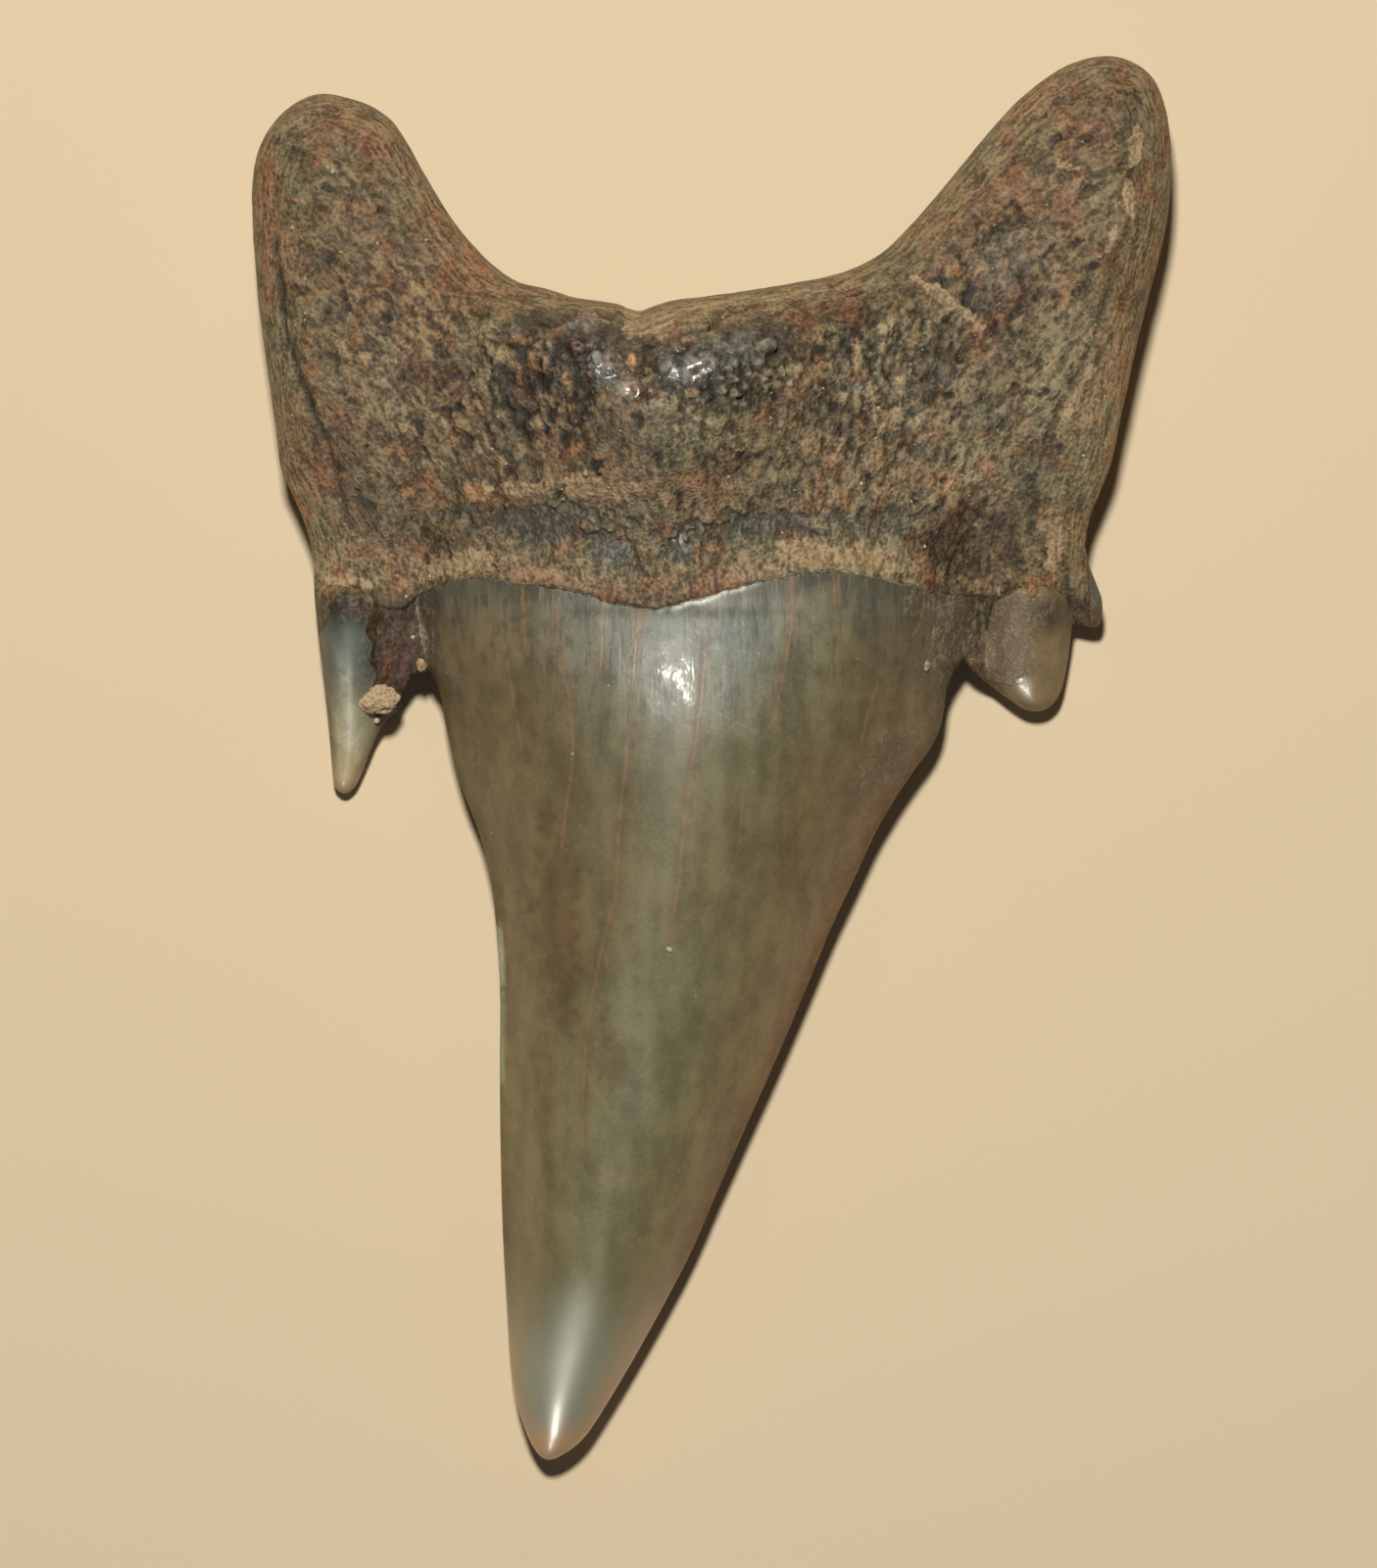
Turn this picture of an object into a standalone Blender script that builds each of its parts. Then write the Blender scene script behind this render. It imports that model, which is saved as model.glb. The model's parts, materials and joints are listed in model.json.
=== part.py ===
"""A fossil sand-shark tooth, lying on its flatter outer face with its rounded inner face up.

The tooth grew as one piece, so it is one solid: a tall blade-like crown, three small side
cusplets, and a thick root with two lobes. Seen from above it is bounded by one outline,
drawn by hand in the stretches below. Two height fields are raised over that outline, one
for the face that looks up and one for the face on the table, and both end on the edge
that runs round the tooth. All tables are in millimetres, measured from the middle of the
outline: X across the tooth, Y from the crown's tip towards the root, Z up from the table.
"""

import math

import bmesh
import bpy
import numpy as np
from mathutils import Vector, noise
from mathutils.geometry import delaunay_2d_cdt

MM = 0.001
NODE = "tooth"
ON_OUTLINE = 1e-4

# Size of the facets over the faces and along the outline, and the finer ones of the points.
FACET = 0.68
MARGIN_FACET = 0.56
FINE_FACET = 0.36
# Rows of facets at these insets from the outline, where the faces curve over most quickly.
MARGIN_INSETS = (0.14, 0.5)
# Where the points are, as low and high corners: left cusplet, right cusplets, crown's tip.
FINE_PLACES = [((-12.6, -1.6), (-8.0, 5.4)), ((7.0, 0.9), (12.3, 6.7)), ((-6.6, -21.5), (-2.4, -18.8))]

# The outline, clockwise from the crown's tip, in stretches that meet at corners.
CROWN_LEFT = [(-4.85, -21.0), (-4.98, -20.98), (-5.14, -20.88), (-5.3, -20.68), (-5.46, -20.4),
              (-5.62, -20.0), (-5.78, -19.5), (-5.9, -19.0), (-6.04, -18.0), (-6.16, -16.0),
              (-6.26, -14.0), (-6.32, -11.5), (-6.34, -9.0), (-6.33, -7.0),
              (-6.43, -5.2), (-6.6, -3.7), (-6.95, -2.2), (-7.42, -1.0), (-7.72, 0.0),
              (-7.95, 1.0), (-8.08, 1.8), (-8.25, 2.3), (-8.5, 2.65)]
LEFT_CUSPLET = [(-8.5, 2.65), (-8.85, 2.58), (-9.1, 2.25), (-9.3, 1.85), (-9.4, 1.5),
                (-9.75, 1.2), (-10.02, 0.8), (-10.25, 0.3), (-10.5, -0.35), (-10.75, -0.83),
                (-11.05, -1.02), (-11.34, -0.8), (-11.42, -0.2), (-11.5, 1.0), (-11.63, 2.4),
                (-11.8, 4.0), (-11.88, 5.2), (-11.86, 5.9)]
ROOT = [(-11.86, 5.9), (-12.1, 6.9), (-12.5, 7.9), (-12.85, 8.7), (-13.0, 9.9), (-13.2, 11.4),
        (-13.48, 13.4), (-13.62, 15.1), (-13.7, 16.9), (-13.53, 18.1), (-13.05, 19.02),
        (-12.4, 19.6), (-11.7, 19.86), (-10.9, 19.76), (-10.1, 19.45), (-9.5, 19.0),
        (-9.0, 18.25), (-8.5, 17.35), (-7.9, 16.35), (-7.2, 15.4), (-6.4, 14.6),
        (-5.7, 14.15), (-4.9, 13.95), (-4.1, 13.68), (-3.3, 13.54), (-2.7, 13.42),
        (-2.25, 13.2), (-1.8, 13.35), (-1.2, 13.53), (-0.4, 13.65), (1.0, 13.83),
        (2.4, 14.1), (3.8, 14.42), (5.0, 15.02), (6.1, 16.1), (7.2, 17.4),
        (8.2, 18.62), (9.1, 19.6), (10.1, 20.42), (11.0, 20.88), (11.8, 21.0),
        (12.5, 20.86), (13.15, 20.35), (13.52, 19.5), (13.68, 18.5), (13.7, 17.4),
        (13.6, 16.2), (13.35, 15.0), (13.0, 13.7), (12.7, 12.5), (12.4, 11.1),
        (12.15, 10.0), (11.95, 8.95), (11.6, 8.0), (11.3, 7.2), (11.16, 6.4)]
SECOND_CUSPLET = [(11.16, 6.4), (11.3, 5.8), (11.55, 5.2), (11.7, 4.8), (11.72, 4.3), (11.6, 4.0),
                  (11.25, 4.0), (10.84, 4.08)]
RIGHT_CUSPLET = [(10.84, 4.08), (10.78, 3.5), (10.68, 2.8), (10.52, 2.1), (10.25, 1.66),
                 (9.85, 1.45), (9.4, 1.52), (8.9, 1.84), (8.4, 2.2), (7.95, 2.55), (7.5, 3.0)]
CROWN_RIGHT = [(7.5, 3.0), (7.22, 2.55), (7.02, 2.05), (6.95, 1.5), (6.82, 0.9), (6.55, 0.35),
               (6.15, -0.2), (5.7, -0.85), (5.3, -1.5), (4.9, -2.2), (4.3, -3.5), (3.6, -5.0),
               (2.77, -7.0), (1.92, -9.0), (1.03, -11.0), (0.15, -13.0), (-0.68, -15.0),
               (-1.62, -17.0), (-2.22, -18.0), (-2.86, -19.0), (-3.5, -19.98), (-3.85, -20.38),
               (-4.2, -20.68), (-4.5, -20.87), (-4.7, -20.97), (-4.85, -21.0)]

# Where the crown's two cutting edges run on under the neck, past the outline's notches.
LEFT_EDGE_IN_ROOT = [(-8.75, 4.0), (-8.95, 5.5), (-9.0, 7.5)]
RIGHT_EDGE_IN_ROOT = [(8.0, 7.5), (7.95, 5.5), (7.85, 4.0)]

# The neck, where enamel meets root on the inner face: two arches with a dip between them.
NECK = [(-13.0, 4.9), (-11.0, 4.9), (-9.4, 4.6), (-8.6, 4.95), (-7.3, 5.35), (-5.7, 5.17),
        (-4.2, 4.95), (-2.9, 4.6), (-1.7, 4.4), (-0.6, 4.65), (0.8, 5.05), (2.4, 5.4),
        (3.8, 5.5), (5.6, 5.15), (7.0, 4.85), (9.2, 5.0), (11.0, 4.6), (13.0, 4.3)]

# Height of the margin above the table, along Y: the cutting edges, then the root's sides.
MARGIN_HEIGHT = [(-21.0, 1.2), (-18.0, 1.35), (-14.0, 1.6), (-10.0, 1.85), (-6.0, 1.98), (-2.0, 2.05),
                 (2.0, 2.1), (5.0, 2.2), (8.0, 2.7), (12.0, 3.0), (16.0, 2.9), (21.5, 2.45)]
# It rises behind the root's bulge, and droops towards the tips of the side cusplets.
BASAL_RISE = 2.1
BASAL_RISE_WIDTH = 5.5
BASAL_RISE_FROM_Y = 7.5
BASAL_RISE_RUN = 5.5
LEFT_DROOP = 1.1
LEFT_DROOP_FROM = (-8.6, 4.5)
LEFT_DROOP_RUN = (1.2, 5.5)
RIGHT_DROOP = 0.85
RIGHT_DROOP_FROM = (7.4, 5.0)
RIGHT_DROOP_RUN = (1.2, 3.6)
# The crown's middle line above its cutting edges, on the inner face.
CROWN_RIDGE = [(-21.0, 0.0), (-20.8, 0.5), (-20.5, 0.8), (-20.0, 1.16), (-19.0, 1.68), (-18.0, 2.06),
               (-17.0, 2.38), (-15.0, 2.82), (-11.0, 3.52), (-7.0, 4.18), (-3.0, 4.8), (0.5, 5.12),
               (2.5, 4.93), (4.0, 4.58), (5.0, 4.28), (8.0, 4.1)]
# The crown's middle line below its cutting edges, on the outer face.
CROWN_BELLY = [(-21.0, 0.0), (-20.6, 0.25), (-20.0, 0.42), (-18.0, 0.78), (-15.0, 1.18), (-11.0, 1.62),
               (-7.0, 1.93), (-4.0, 2.1), (-1.0, 2.07), (2.0, 1.95), (5.0, 1.8), (8.0, 1.75)]
# How full the crown's cross section is on each face: 1 is a parabola, less is fuller.
CROWN_FULLNESS = [(-21.0, 0.6), (-18.0, 0.72), (-12.0, 0.88), (-2.0, 0.92), (3.0, 0.66), (5.0, 0.5), (8.0, 0.5)]
BELLY_FULLNESS = 1.0

# The cusplets' cones: edges on either side and height over the margin, along Y.
LEFT_CONE = {
    "left": [(-1.02, -11.05), (-0.8, -11.34), (-0.2, -11.42), (2.4, -11.63), (5.2, -11.88), (7.0, -12.0)],
    "right": [(-1.02, -11.05), (-0.83, -10.75), (-0.35, -10.5), (0.8, -10.1), (3.0, -9.85), (7.0, -9.5)],
    "height": [(-1.02, 0.0), (-0.6, 0.6), (0.5, 1.05), (2.0, 1.45), (4.5, 1.8), (7.0, 1.9)],
}
RIGHT_CONE = {
    "left": [(1.45, 9.85), (1.55, 9.3), (2.2, 8.45), (3.0, 7.95), (4.5, 7.95), (7.0, 8.0)],
    "right": [(1.45, 9.85), (1.66, 10.25), (2.1, 10.52), (3.5, 10.78), (5.0, 10.9), (7.0, 10.9)],
    "height": [(1.45, 0.0), (1.6, 0.7), (1.9, 1.1), (2.4, 1.5), (3.2, 1.95), (5.0, 2.4), (7.0, 2.4)],
}
SECOND_CONE = {
    "left": [(3.95, 11.45), (4.05, 11.1), (4.5, 10.95), (5.5, 10.8), (7.0, 10.7)],
    "right": [(3.95, 11.45), (4.1, 11.68), (4.6, 11.74), (5.4, 11.5), (7.0, 11.2)],
    "height": [(3.95, 0.0), (4.2, 0.45), (4.8, 0.75), (5.6, 0.95), (7.0, 1.0)],
}
CONE_FULLNESS = 0.6

# The root, on the inner face: a bulge over the middle, and lower lobes on either side.
LOBE_CREST = 5.6
BULGE_RISE = 3.9
BULGE_X = -1.0
BULGE_WIDTH = 5.2
CREST_STARTS_PAST_NECK = 0.4
CREST_FROM_NECK = 6.0
LOBE_TAPER_FROM_Y = 12.0
LOBE_TAPER = 0.13
SIDE_NECK_HEIGHT = 3.2
ENAMEL_LIP = 0.27
ROOT_ROUNDING = 2.45

# The nutrient groove that notches the root's bulge, and the two knobs beside it.
GROOVE_X = -2.3
GROOVE_WIDTH = 0.5
GROOVE_DEPTH = 0.55
GROOVE_FROM_Y = 9.6
GROOVE_RUN = 3.0
KNOBS = [(-3.6, 11.7, 0.9, 0.35), (-0.3, 11.5, 1.1, 0.3), (1.6, 12.3, 0.8, 0.18)]  # x, y, radius, rise

# The lip of the enamel over the root on the outer face, and how steeply each surface dives
# under the other past the neck of the inner one.
LABIAL_BASE = 0.7
LABIAL_STEP = 1.1
DIVE = 2.5

# The root's outer face: hollow in the middle, with a pad on each lobe that meets the table.
HOLLOW_HEIGHT = 0.95
PAD_DEPTH = 1.05
PAD_RADIUS = 3.1
PADS = [(-11.25, 16.2), (11.7, 17.0)]
UNDER_ROUNDING = 2.2

# The thin webs between crown and cusplets.
WEB_ROUNDING = 1.2
WEB_RISE = 0.8
WEB_DROP = 0.85

# A crumb of hard sediment stuck to the left cusplet.
CRUMB = (-9.85, 1.75, 0.62, 3.0)  # x, y, radius, height of its top
CRUMB_SQUASH = 1.15
CRUMB_HEIGHT = 0.7

# The height that a cusplet or the crumb is given where it isn't.
OUTSIDE = -9.0

# Slow waves in the root's surface.
WAVE_SIZE = 2.6
WAVE_HEIGHT = 0.16
WAVES_START_OVER = 1.5

# How widely the seams between these forms are rounded over.
NECK_SEAM = 0.25
CUSPLET_SEAM = 0.3
SIDE_SEAM = 0.8

# Below this width a cusplet or the crown counts as this wide, so that its tip isn't divided by zero.
LEAST_HALF_WIDTH = 0.02
# Edges that turn more than this stay crisp, such as the crown's cutting edges.
CRISP_EDGE_DEG = 55

# Material numbers on the tooth's mesh, and the colours.
ENAMEL, BONE, SEDIMENT = 0, 1, 2
ENAMEL_COLOUR = (0.120, 0.105, 0.075, 1.0)
ROOT_COLOUR = (0.085, 0.060, 0.045, 1.0)
CRUMB_COLOUR = (0.330, 0.245, 0.150, 1.0)


def catmull_rom(points, per_span=12):
    """A smooth line through the points, as many short straight pieces."""
    given = np.array(points, float)
    given = np.vstack([2 * given[0] - given[1], given, 2 * given[-1] - given[-2]])
    t = np.linspace(0, 1, per_span, endpoint=False)[:, None]
    spans = []
    for a, b, c, d in zip(given, given[1:], given[2:], given[3:]):
        spans.append(0.5 * (2 * b + (c - a) * t + (2 * a - 5 * b + 4 * c - d) * t**2
                            + (3 * b - a - 3 * c + d) * t**3))
    return np.vstack(spans + [given[-2:-1]])


def evenly(line, step):
    """The same line with its points about one step apart, both ends kept."""
    along = np.concatenate([[0], np.cumsum(np.hypot(*np.diff(line, axis=0).T))])
    stations = np.linspace(0, along[-1], max(2, round(along[-1] / step)) + 1)
    return np.column_stack([np.interp(stations, along, line[:, i]) for i in (0, 1)])


def profile(table):
    """A smooth function of one variable through the table's pairs."""
    line = catmull_rom(table)
    order = np.argsort(line[:, 0], kind="stable")
    return lambda t: np.interp(t, line[order, 0], line[order, 1])


def in_fine_place(points):
    """Which points lie in a place that gets the finer facets."""
    fine = [((points > low) & (points < high)).all(axis=1) for low, high in FINE_PLACES]
    return np.any(fine, axis=0)


def outline():
    """The tooth's closed outline, without its last point repeated."""
    stretches = (CROWN_LEFT, LEFT_CUSPLET, ROOT, SECOND_CUSPLET, RIGHT_CUSPLET, CROWN_RIGHT)
    points = []
    for stretch in stretches:
        line = evenly(catmull_rom(stretch), MARGIN_FACET / 2)[:-1]
        every_other = np.arange(len(line)) % 2 == 0
        points.append(line[every_other | in_fine_place(line)])
    return np.vstack(points)


def distance_to(loop, x, y):
    """How far each point is from a closed line."""
    points = np.column_stack([x, y])
    nearest = np.full(len(points), np.inf)
    for a, b in zip(loop, np.roll(loop, -1, axis=0)):
        along = b - a
        t = np.clip((points - a) @ along / (along @ along), 0, 1)
        nearest = np.minimum(nearest, np.hypot(*(points - a - t[:, None] * along).T))
    return nearest


def inside(loop, x, y):
    """Which points lie inside a closed line, by counting crossings to the right."""
    found = np.zeros(len(x), bool)
    for (ax, ay), (bx, by) in zip(loop, np.roll(loop, -1, axis=0)):
        if ay != by:
            crossed = ((ay > y) != (by > y)) & (x < (bx - ax) * (y - ay) / (by - ay) + ax)
            found ^= crossed
    return found


def smooth_step(t):
    t = np.clip(t, 0, 1)
    return t * t * (3 - 2 * t)


def hump(x, middle, width):
    return np.exp(-(((x - middle) / width) ** 2))


def higher(a, b, blend):
    """The higher of two surfaces, with their crossing rounded over."""
    return np.maximum(a, b) + np.maximum(blend - np.abs(a - b), 0) ** 2 / (4 * blend)


def lower(a, b, blend):
    """The lower of two surfaces, with their crossing rounded over."""
    return -higher(-a, -b, blend)


def rounded(distance, width):
    """A quarter round: 0 at the margin, 1 from one width inwards."""
    t = np.clip(distance / width, 0, 1)
    return np.sqrt(1 - (1 - t) ** 2)


def waves(x, y, size):
    """Slow random waves between about -1 and 1, the same on each run."""
    return np.array([noise.noise(Vector((a / size, b / size, 3.7))) for a, b in zip(x, y)]) * 1.6


MARGIN = profile(MARGIN_HEIGHT)
RIDGE = profile(CROWN_RIDGE)
BELLY = profile(CROWN_BELLY)
FULLNESS = profile(CROWN_FULLNESS)
NECK_LINE = profile(NECK)
LEFT_EDGE = profile([(y, x) for x, y in CROWN_LEFT + LEFT_EDGE_IN_ROOT])
RIGHT_EDGE = profile([(y, x) for x, y in RIGHT_EDGE_IN_ROOT + CROWN_RIGHT])


def margin_height(x, y):
    """Height of the edge between the two faces. It rises under the bulge and drops at the cusplets."""
    behind = smooth_step((y - BASAL_RISE_FROM_Y) / BASAL_RISE_RUN)
    height = MARGIN(y) + BASAL_RISE * hump(x, BULGE_X, BASAL_RISE_WIDTH) * behind
    outwards = smooth_step((LEFT_DROOP_FROM[0] - x) / LEFT_DROOP_RUN[0])
    height = height - LEFT_DROOP * outwards * smooth_step((LEFT_DROOP_FROM[1] - y) / LEFT_DROOP_RUN[1])
    outwards = smooth_step((x - RIGHT_DROOP_FROM[0]) / RIGHT_DROOP_RUN[0])
    return height - RIGHT_DROOP * outwards * smooth_step((RIGHT_DROOP_FROM[1] - y) / RIGHT_DROOP_RUN[1])


def across(x, left, right):
    """Place between two edges: -1 on the left one, 1 on the right one."""
    return (x - (left + right) / 2) / np.maximum((right - left) / 2, LEAST_HALF_WIDTH)


def crown_section(x, y, fullness):
    """The crown's rounding across: 0 on both cutting edges, 1 on the middle line."""
    return np.clip(1 - across(x, LEFT_EDGE(y), RIGHT_EDGE(y)) ** 2, 0, 1) ** fullness


def crown_over(x, y):
    """The crown's inner face, as it would run on under the root."""
    return MARGIN(y) + RIDGE(y) * crown_section(x, y, FULLNESS(y))


def crown_under(x, y):
    """The crown's outer face."""
    return MARGIN(y) - BELLY(y) * crown_section(x, y, BELLY_FULLNESS)


def cone_over(cone, x, y, edge):
    """The upper half of a cusplet's cone, or far below the tooth outside it."""
    place = across(x, profile(cone["left"])(y), profile(cone["right"])(y))
    section = np.clip(1 - place**2, 0, 1) ** CONE_FULLNESS
    tip = cone["left"][0][0]
    height = edge + profile(cone["height"])(np.maximum(y, tip)) * section
    return np.where((np.abs(place) < 1) & (y > tip), height, OUTSIDE)


def root_over(x, y, edge, distance):
    """The root's inner face: from the neck up over the bulge, and out along the lobes."""
    neck = NECK_LINE(x)
    at_neck = higher(crown_over(x, neck) - ENAMEL_LIP, np.full_like(x, SIDE_NECK_HEIGHT), SIDE_SEAM)
    crest = LOBE_CREST + BULGE_RISE * hump(x, BULGE_X, BULGE_WIDTH)
    crest = crest - LOBE_TAPER * np.maximum(y - LOBE_TAPER_FROM_Y, 0)
    climb = smooth_step((y - neck - CREST_STARTS_PAST_NECK) / CREST_FROM_NECK)
    body = at_neck + (crest - at_neck) * climb
    for knob_x, knob_y, radius, rise in KNOBS:
        body = body + rise * hump(np.hypot(x - knob_x, y - knob_y), 0, radius)
    in_groove = hump(x, GROOVE_X, GROOVE_WIDTH) * smooth_step((y - GROOVE_FROM_Y) / GROOVE_RUN)
    body = body - GROOVE_DEPTH * in_groove
    body = body + WAVE_HEIGHT * waves(x, y, WAVE_SIZE) * smooth_step((y - neck) / WAVES_START_OVER)
    height = edge + (body - edge) * rounded(distance, ROOT_ROUNDING)
    return height - DIVE * np.maximum(neck - y, 0)


def root_under(x, y, edge, distance):
    """The root's outer face: hollow, with a pad on each lobe."""
    depth = np.full_like(x, HOLLOW_HEIGHT)
    for pad_x, pad_y in PADS:
        depth = depth - PAD_DEPTH * hump(np.hypot(x - pad_x, y - pad_y), 0, PAD_RADIUS)
    return edge - (edge - depth) * rounded(distance, UNDER_ROUNDING)


def crumb_over(x, y):
    """The crumb's domed top, or far below the tooth outside it."""
    crumb_x, crumb_y, radius, top = CRUMB
    off = np.hypot(x - crumb_x, (y - crumb_y) * CRUMB_SQUASH) / radius
    dome = top - CRUMB_HEIGHT * (1 - np.sqrt(np.clip(1 - off**2, 0, 1)))
    return np.where(off < 1, dome, OUTSIDE)


def face_up(x, y, edge, distance):
    """The inner face: crown and cusplets below the neck, root above it, webs between."""
    past_neck = np.maximum(y - NECK_LINE(x), 0)
    over = higher(root_over(x, y, edge, distance), crown_over(x, y) - DIVE * past_neck, NECK_SEAM)
    over = higher(over, edge + WEB_RISE * rounded(distance, WEB_ROUNDING), CUSPLET_SEAM)
    for cone in (LEFT_CONE, RIGHT_CONE, SECOND_CONE):
        over = higher(over, cone_over(cone, x, y, edge) - DIVE * past_neck, CUSPLET_SEAM)
    return np.maximum(over, crumb_over(x, y))


def face_down(x, y, edge, distance):
    """The outer face, which rests on the table: the crown's belly and the pads are flat there."""
    crown = lower(crown_under(x, y), edge - WEB_DROP * rounded(distance, WEB_ROUNDING), CUSPLET_SEAM)
    on_root = smooth_step((y - NECK_LINE(x) - LABIAL_BASE) / LABIAL_STEP)
    under = crown * (1 - on_root) + root_under(x, y, edge, distance) * on_root
    return np.maximum(under, 0)


def inset_rows(loop):
    """Rows of points that follow the outline at each inset, where the tooth is wide enough."""
    along = np.roll(loop, -1, axis=0) - np.roll(loop, 1, axis=0)
    along = along / np.hypot(*along.T)[:, None]
    inward = np.column_stack([along[:, 1], -along[:, 0]])
    rows = []
    for inset in MARGIN_INSETS:
        row = loop + inward * inset
        kept = inside(loop, *row.T) & (distance_to(loop, *row.T) > 0.93 * inset)
        rows.append(row[kept])
    return np.vstack(rows)


def lattice(loop, spacing, fine):
    """An even triangular lattice inside the innermost row, in the fine places or outside them."""
    low, high = loop.min(axis=0), loop.max(axis=0)
    points = []
    for i, y in enumerate(np.arange(low[1], high[1], spacing * np.sqrt(0.75))):
        x = np.arange(low[0] + spacing * 0.5 * (i % 2), high[0], spacing)
        points.append(np.column_stack([x, np.full_like(x, y)]))
    points = np.vstack(points)
    points = points[in_fine_place(points) == fine]
    clear = MARGIN_INSETS[-1] + 0.6 * spacing
    return points[inside(loop, *points.T) & (distance_to(loop, *points.T) > clear)]


def triangulated(loop):
    """The tooth seen from above, as points and triangles."""
    points = np.vstack([loop, inset_rows(loop), lattice(loop, FACET, False), lattice(loop, FINE_FACET, True)])
    border = list(range(len(loop)))
    points, _, triangles, *_ = delaunay_2d_cdt([Vector(p) for p in points], [], [border], 1, 1e-6)
    return np.array(points), triangles


def finish_at(x, y, neck):
    """Which material a face takes: enamel below the neck line, root bone above it."""
    return ENAMEL if y < neck else BONE


def material(name, colour, roughness):
    made = bpy.data.materials.new(name)
    made.use_nodes = True
    surface = made.node_tree.nodes["Principled BSDF"]
    surface.inputs["Base Color"].default_value = colour
    surface.inputs["Roughness"].default_value = roughness
    surface.inputs["Metallic"].default_value = 0.0
    return made


def build_tooth():
    """Raises both faces over one flat triangulation and sews them along the outline."""
    loop = outline()
    flat, triangles = triangulated(loop)
    x, y = flat.T
    distance = distance_to(loop, x, y)
    edge = margin_height(x, y)
    upper_heights = face_up(x, y, edge, distance)
    lower_heights = face_down(x, y, edge, distance)
    middle = (flat.min(axis=0) + flat.max(axis=0)) / 2

    mesh = bmesh.new()
    upper, lower_row = [], []
    for place, rim, top, bottom in zip(flat - middle, edge, upper_heights, lower_heights):
        on_margin = distance[len(upper)] < ON_OUTLINE
        upper.append(mesh.verts.new(Vector((*place, rim if on_margin else top)) * MM))
        lower_row.append(upper[-1] if on_margin else mesh.verts.new(Vector((*place, bottom)) * MM))
    for corners in triangles:
        centre_x, centre_y = flat[corners].mean(axis=0)
        neck = float(NECK_LINE(centre_x))
        face = mesh.faces.new([upper[i] for i in corners])
        face.material_index = finish_at(centre_x, centre_y, neck)
        if np.hypot(centre_x - CRUMB[0], centre_y - CRUMB[1]) < CRUMB[2]:
            face.material_index = SEDIMENT
        face = mesh.faces.new([lower_row[i] for i in reversed(corners)])
        face.material_index = finish_at(centre_x, centre_y, neck + LABIAL_BASE + LABIAL_STEP / 2)
    bmesh.ops.recalc_face_normals(mesh, faces=mesh.faces)

    data = bpy.data.meshes.new(NODE)
    mesh.to_mesh(data)
    mesh.free()
    data.shade_smooth()
    data.set_sharp_from_angle(angle=math.radians(CRISP_EDGE_DEG))
    data.materials.append(material("enameloid", ENAMEL_COLOUR, 0.28))
    data.materials.append(material("root_bone", ROOT_COLOUR, 0.55))
    data.materials.append(material("sediment", CRUMB_COLOUR, 0.9))
    tooth = bpy.data.objects.new(NODE, data)
    bpy.context.scene.collection.objects.link(tooth)


def main():
    for thing in list(bpy.data.objects):
        bpy.data.objects.remove(thing)
    build_tooth()


main()
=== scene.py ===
# %% [markdown]
# # A fossil shark tooth
# A shark grows a tooth in one piece: a glassy crown of enameloid on a root of porous bone.
# In the ground the tooth takes up minerals. The enameloid turns olive grey and stays glossy,
# and the root turns dark brown and keeps its fibres and pits.
# This lesson builds that surface in fine mesh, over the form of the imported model, and
# finishes it with nodes. Lengths are in millimetres until a mesh is made from them.

import json

import bmesh
import bpy
import numpy as np
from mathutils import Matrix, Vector, kdtree, noise
from mathutils.bvhtree import BVHTree
from mathutils.geometry import delaunay_2d_cdt

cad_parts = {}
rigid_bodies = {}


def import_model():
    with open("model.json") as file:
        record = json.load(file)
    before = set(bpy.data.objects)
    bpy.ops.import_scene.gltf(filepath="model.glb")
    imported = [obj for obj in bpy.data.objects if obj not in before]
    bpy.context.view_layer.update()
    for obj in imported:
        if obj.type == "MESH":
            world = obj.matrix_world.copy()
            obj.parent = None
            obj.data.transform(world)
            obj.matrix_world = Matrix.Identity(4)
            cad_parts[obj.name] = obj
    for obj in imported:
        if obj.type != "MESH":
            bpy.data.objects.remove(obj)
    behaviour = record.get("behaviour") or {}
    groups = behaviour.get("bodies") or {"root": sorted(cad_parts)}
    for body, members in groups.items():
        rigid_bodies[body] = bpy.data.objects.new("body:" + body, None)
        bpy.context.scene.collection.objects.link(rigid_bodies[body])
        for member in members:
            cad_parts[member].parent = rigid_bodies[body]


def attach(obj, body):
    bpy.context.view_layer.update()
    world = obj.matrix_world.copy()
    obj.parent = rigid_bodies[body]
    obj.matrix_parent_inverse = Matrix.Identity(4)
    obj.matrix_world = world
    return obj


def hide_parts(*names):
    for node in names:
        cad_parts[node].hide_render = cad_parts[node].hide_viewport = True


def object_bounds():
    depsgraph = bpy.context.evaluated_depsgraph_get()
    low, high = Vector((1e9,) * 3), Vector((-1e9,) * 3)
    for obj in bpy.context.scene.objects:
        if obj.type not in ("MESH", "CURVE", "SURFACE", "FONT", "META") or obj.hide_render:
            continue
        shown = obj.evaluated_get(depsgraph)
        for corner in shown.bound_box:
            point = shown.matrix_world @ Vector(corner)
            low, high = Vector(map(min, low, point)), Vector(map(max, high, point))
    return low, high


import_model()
cad_low, cad_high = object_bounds()
MM = 0.001
print("packed model, mm:", [round(side / MM, 2) for side in cad_high - cad_low])

# %% [markdown]
# ## Camera
# The tooth lies flat and is photographed from straight above, crown towards the bottom of
# the picture. One millimetre is 34.14 pixels, which fixes how much the camera has to see.
# A long lens far away keeps the outline free of perspective, as a macro lens does.

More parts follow.
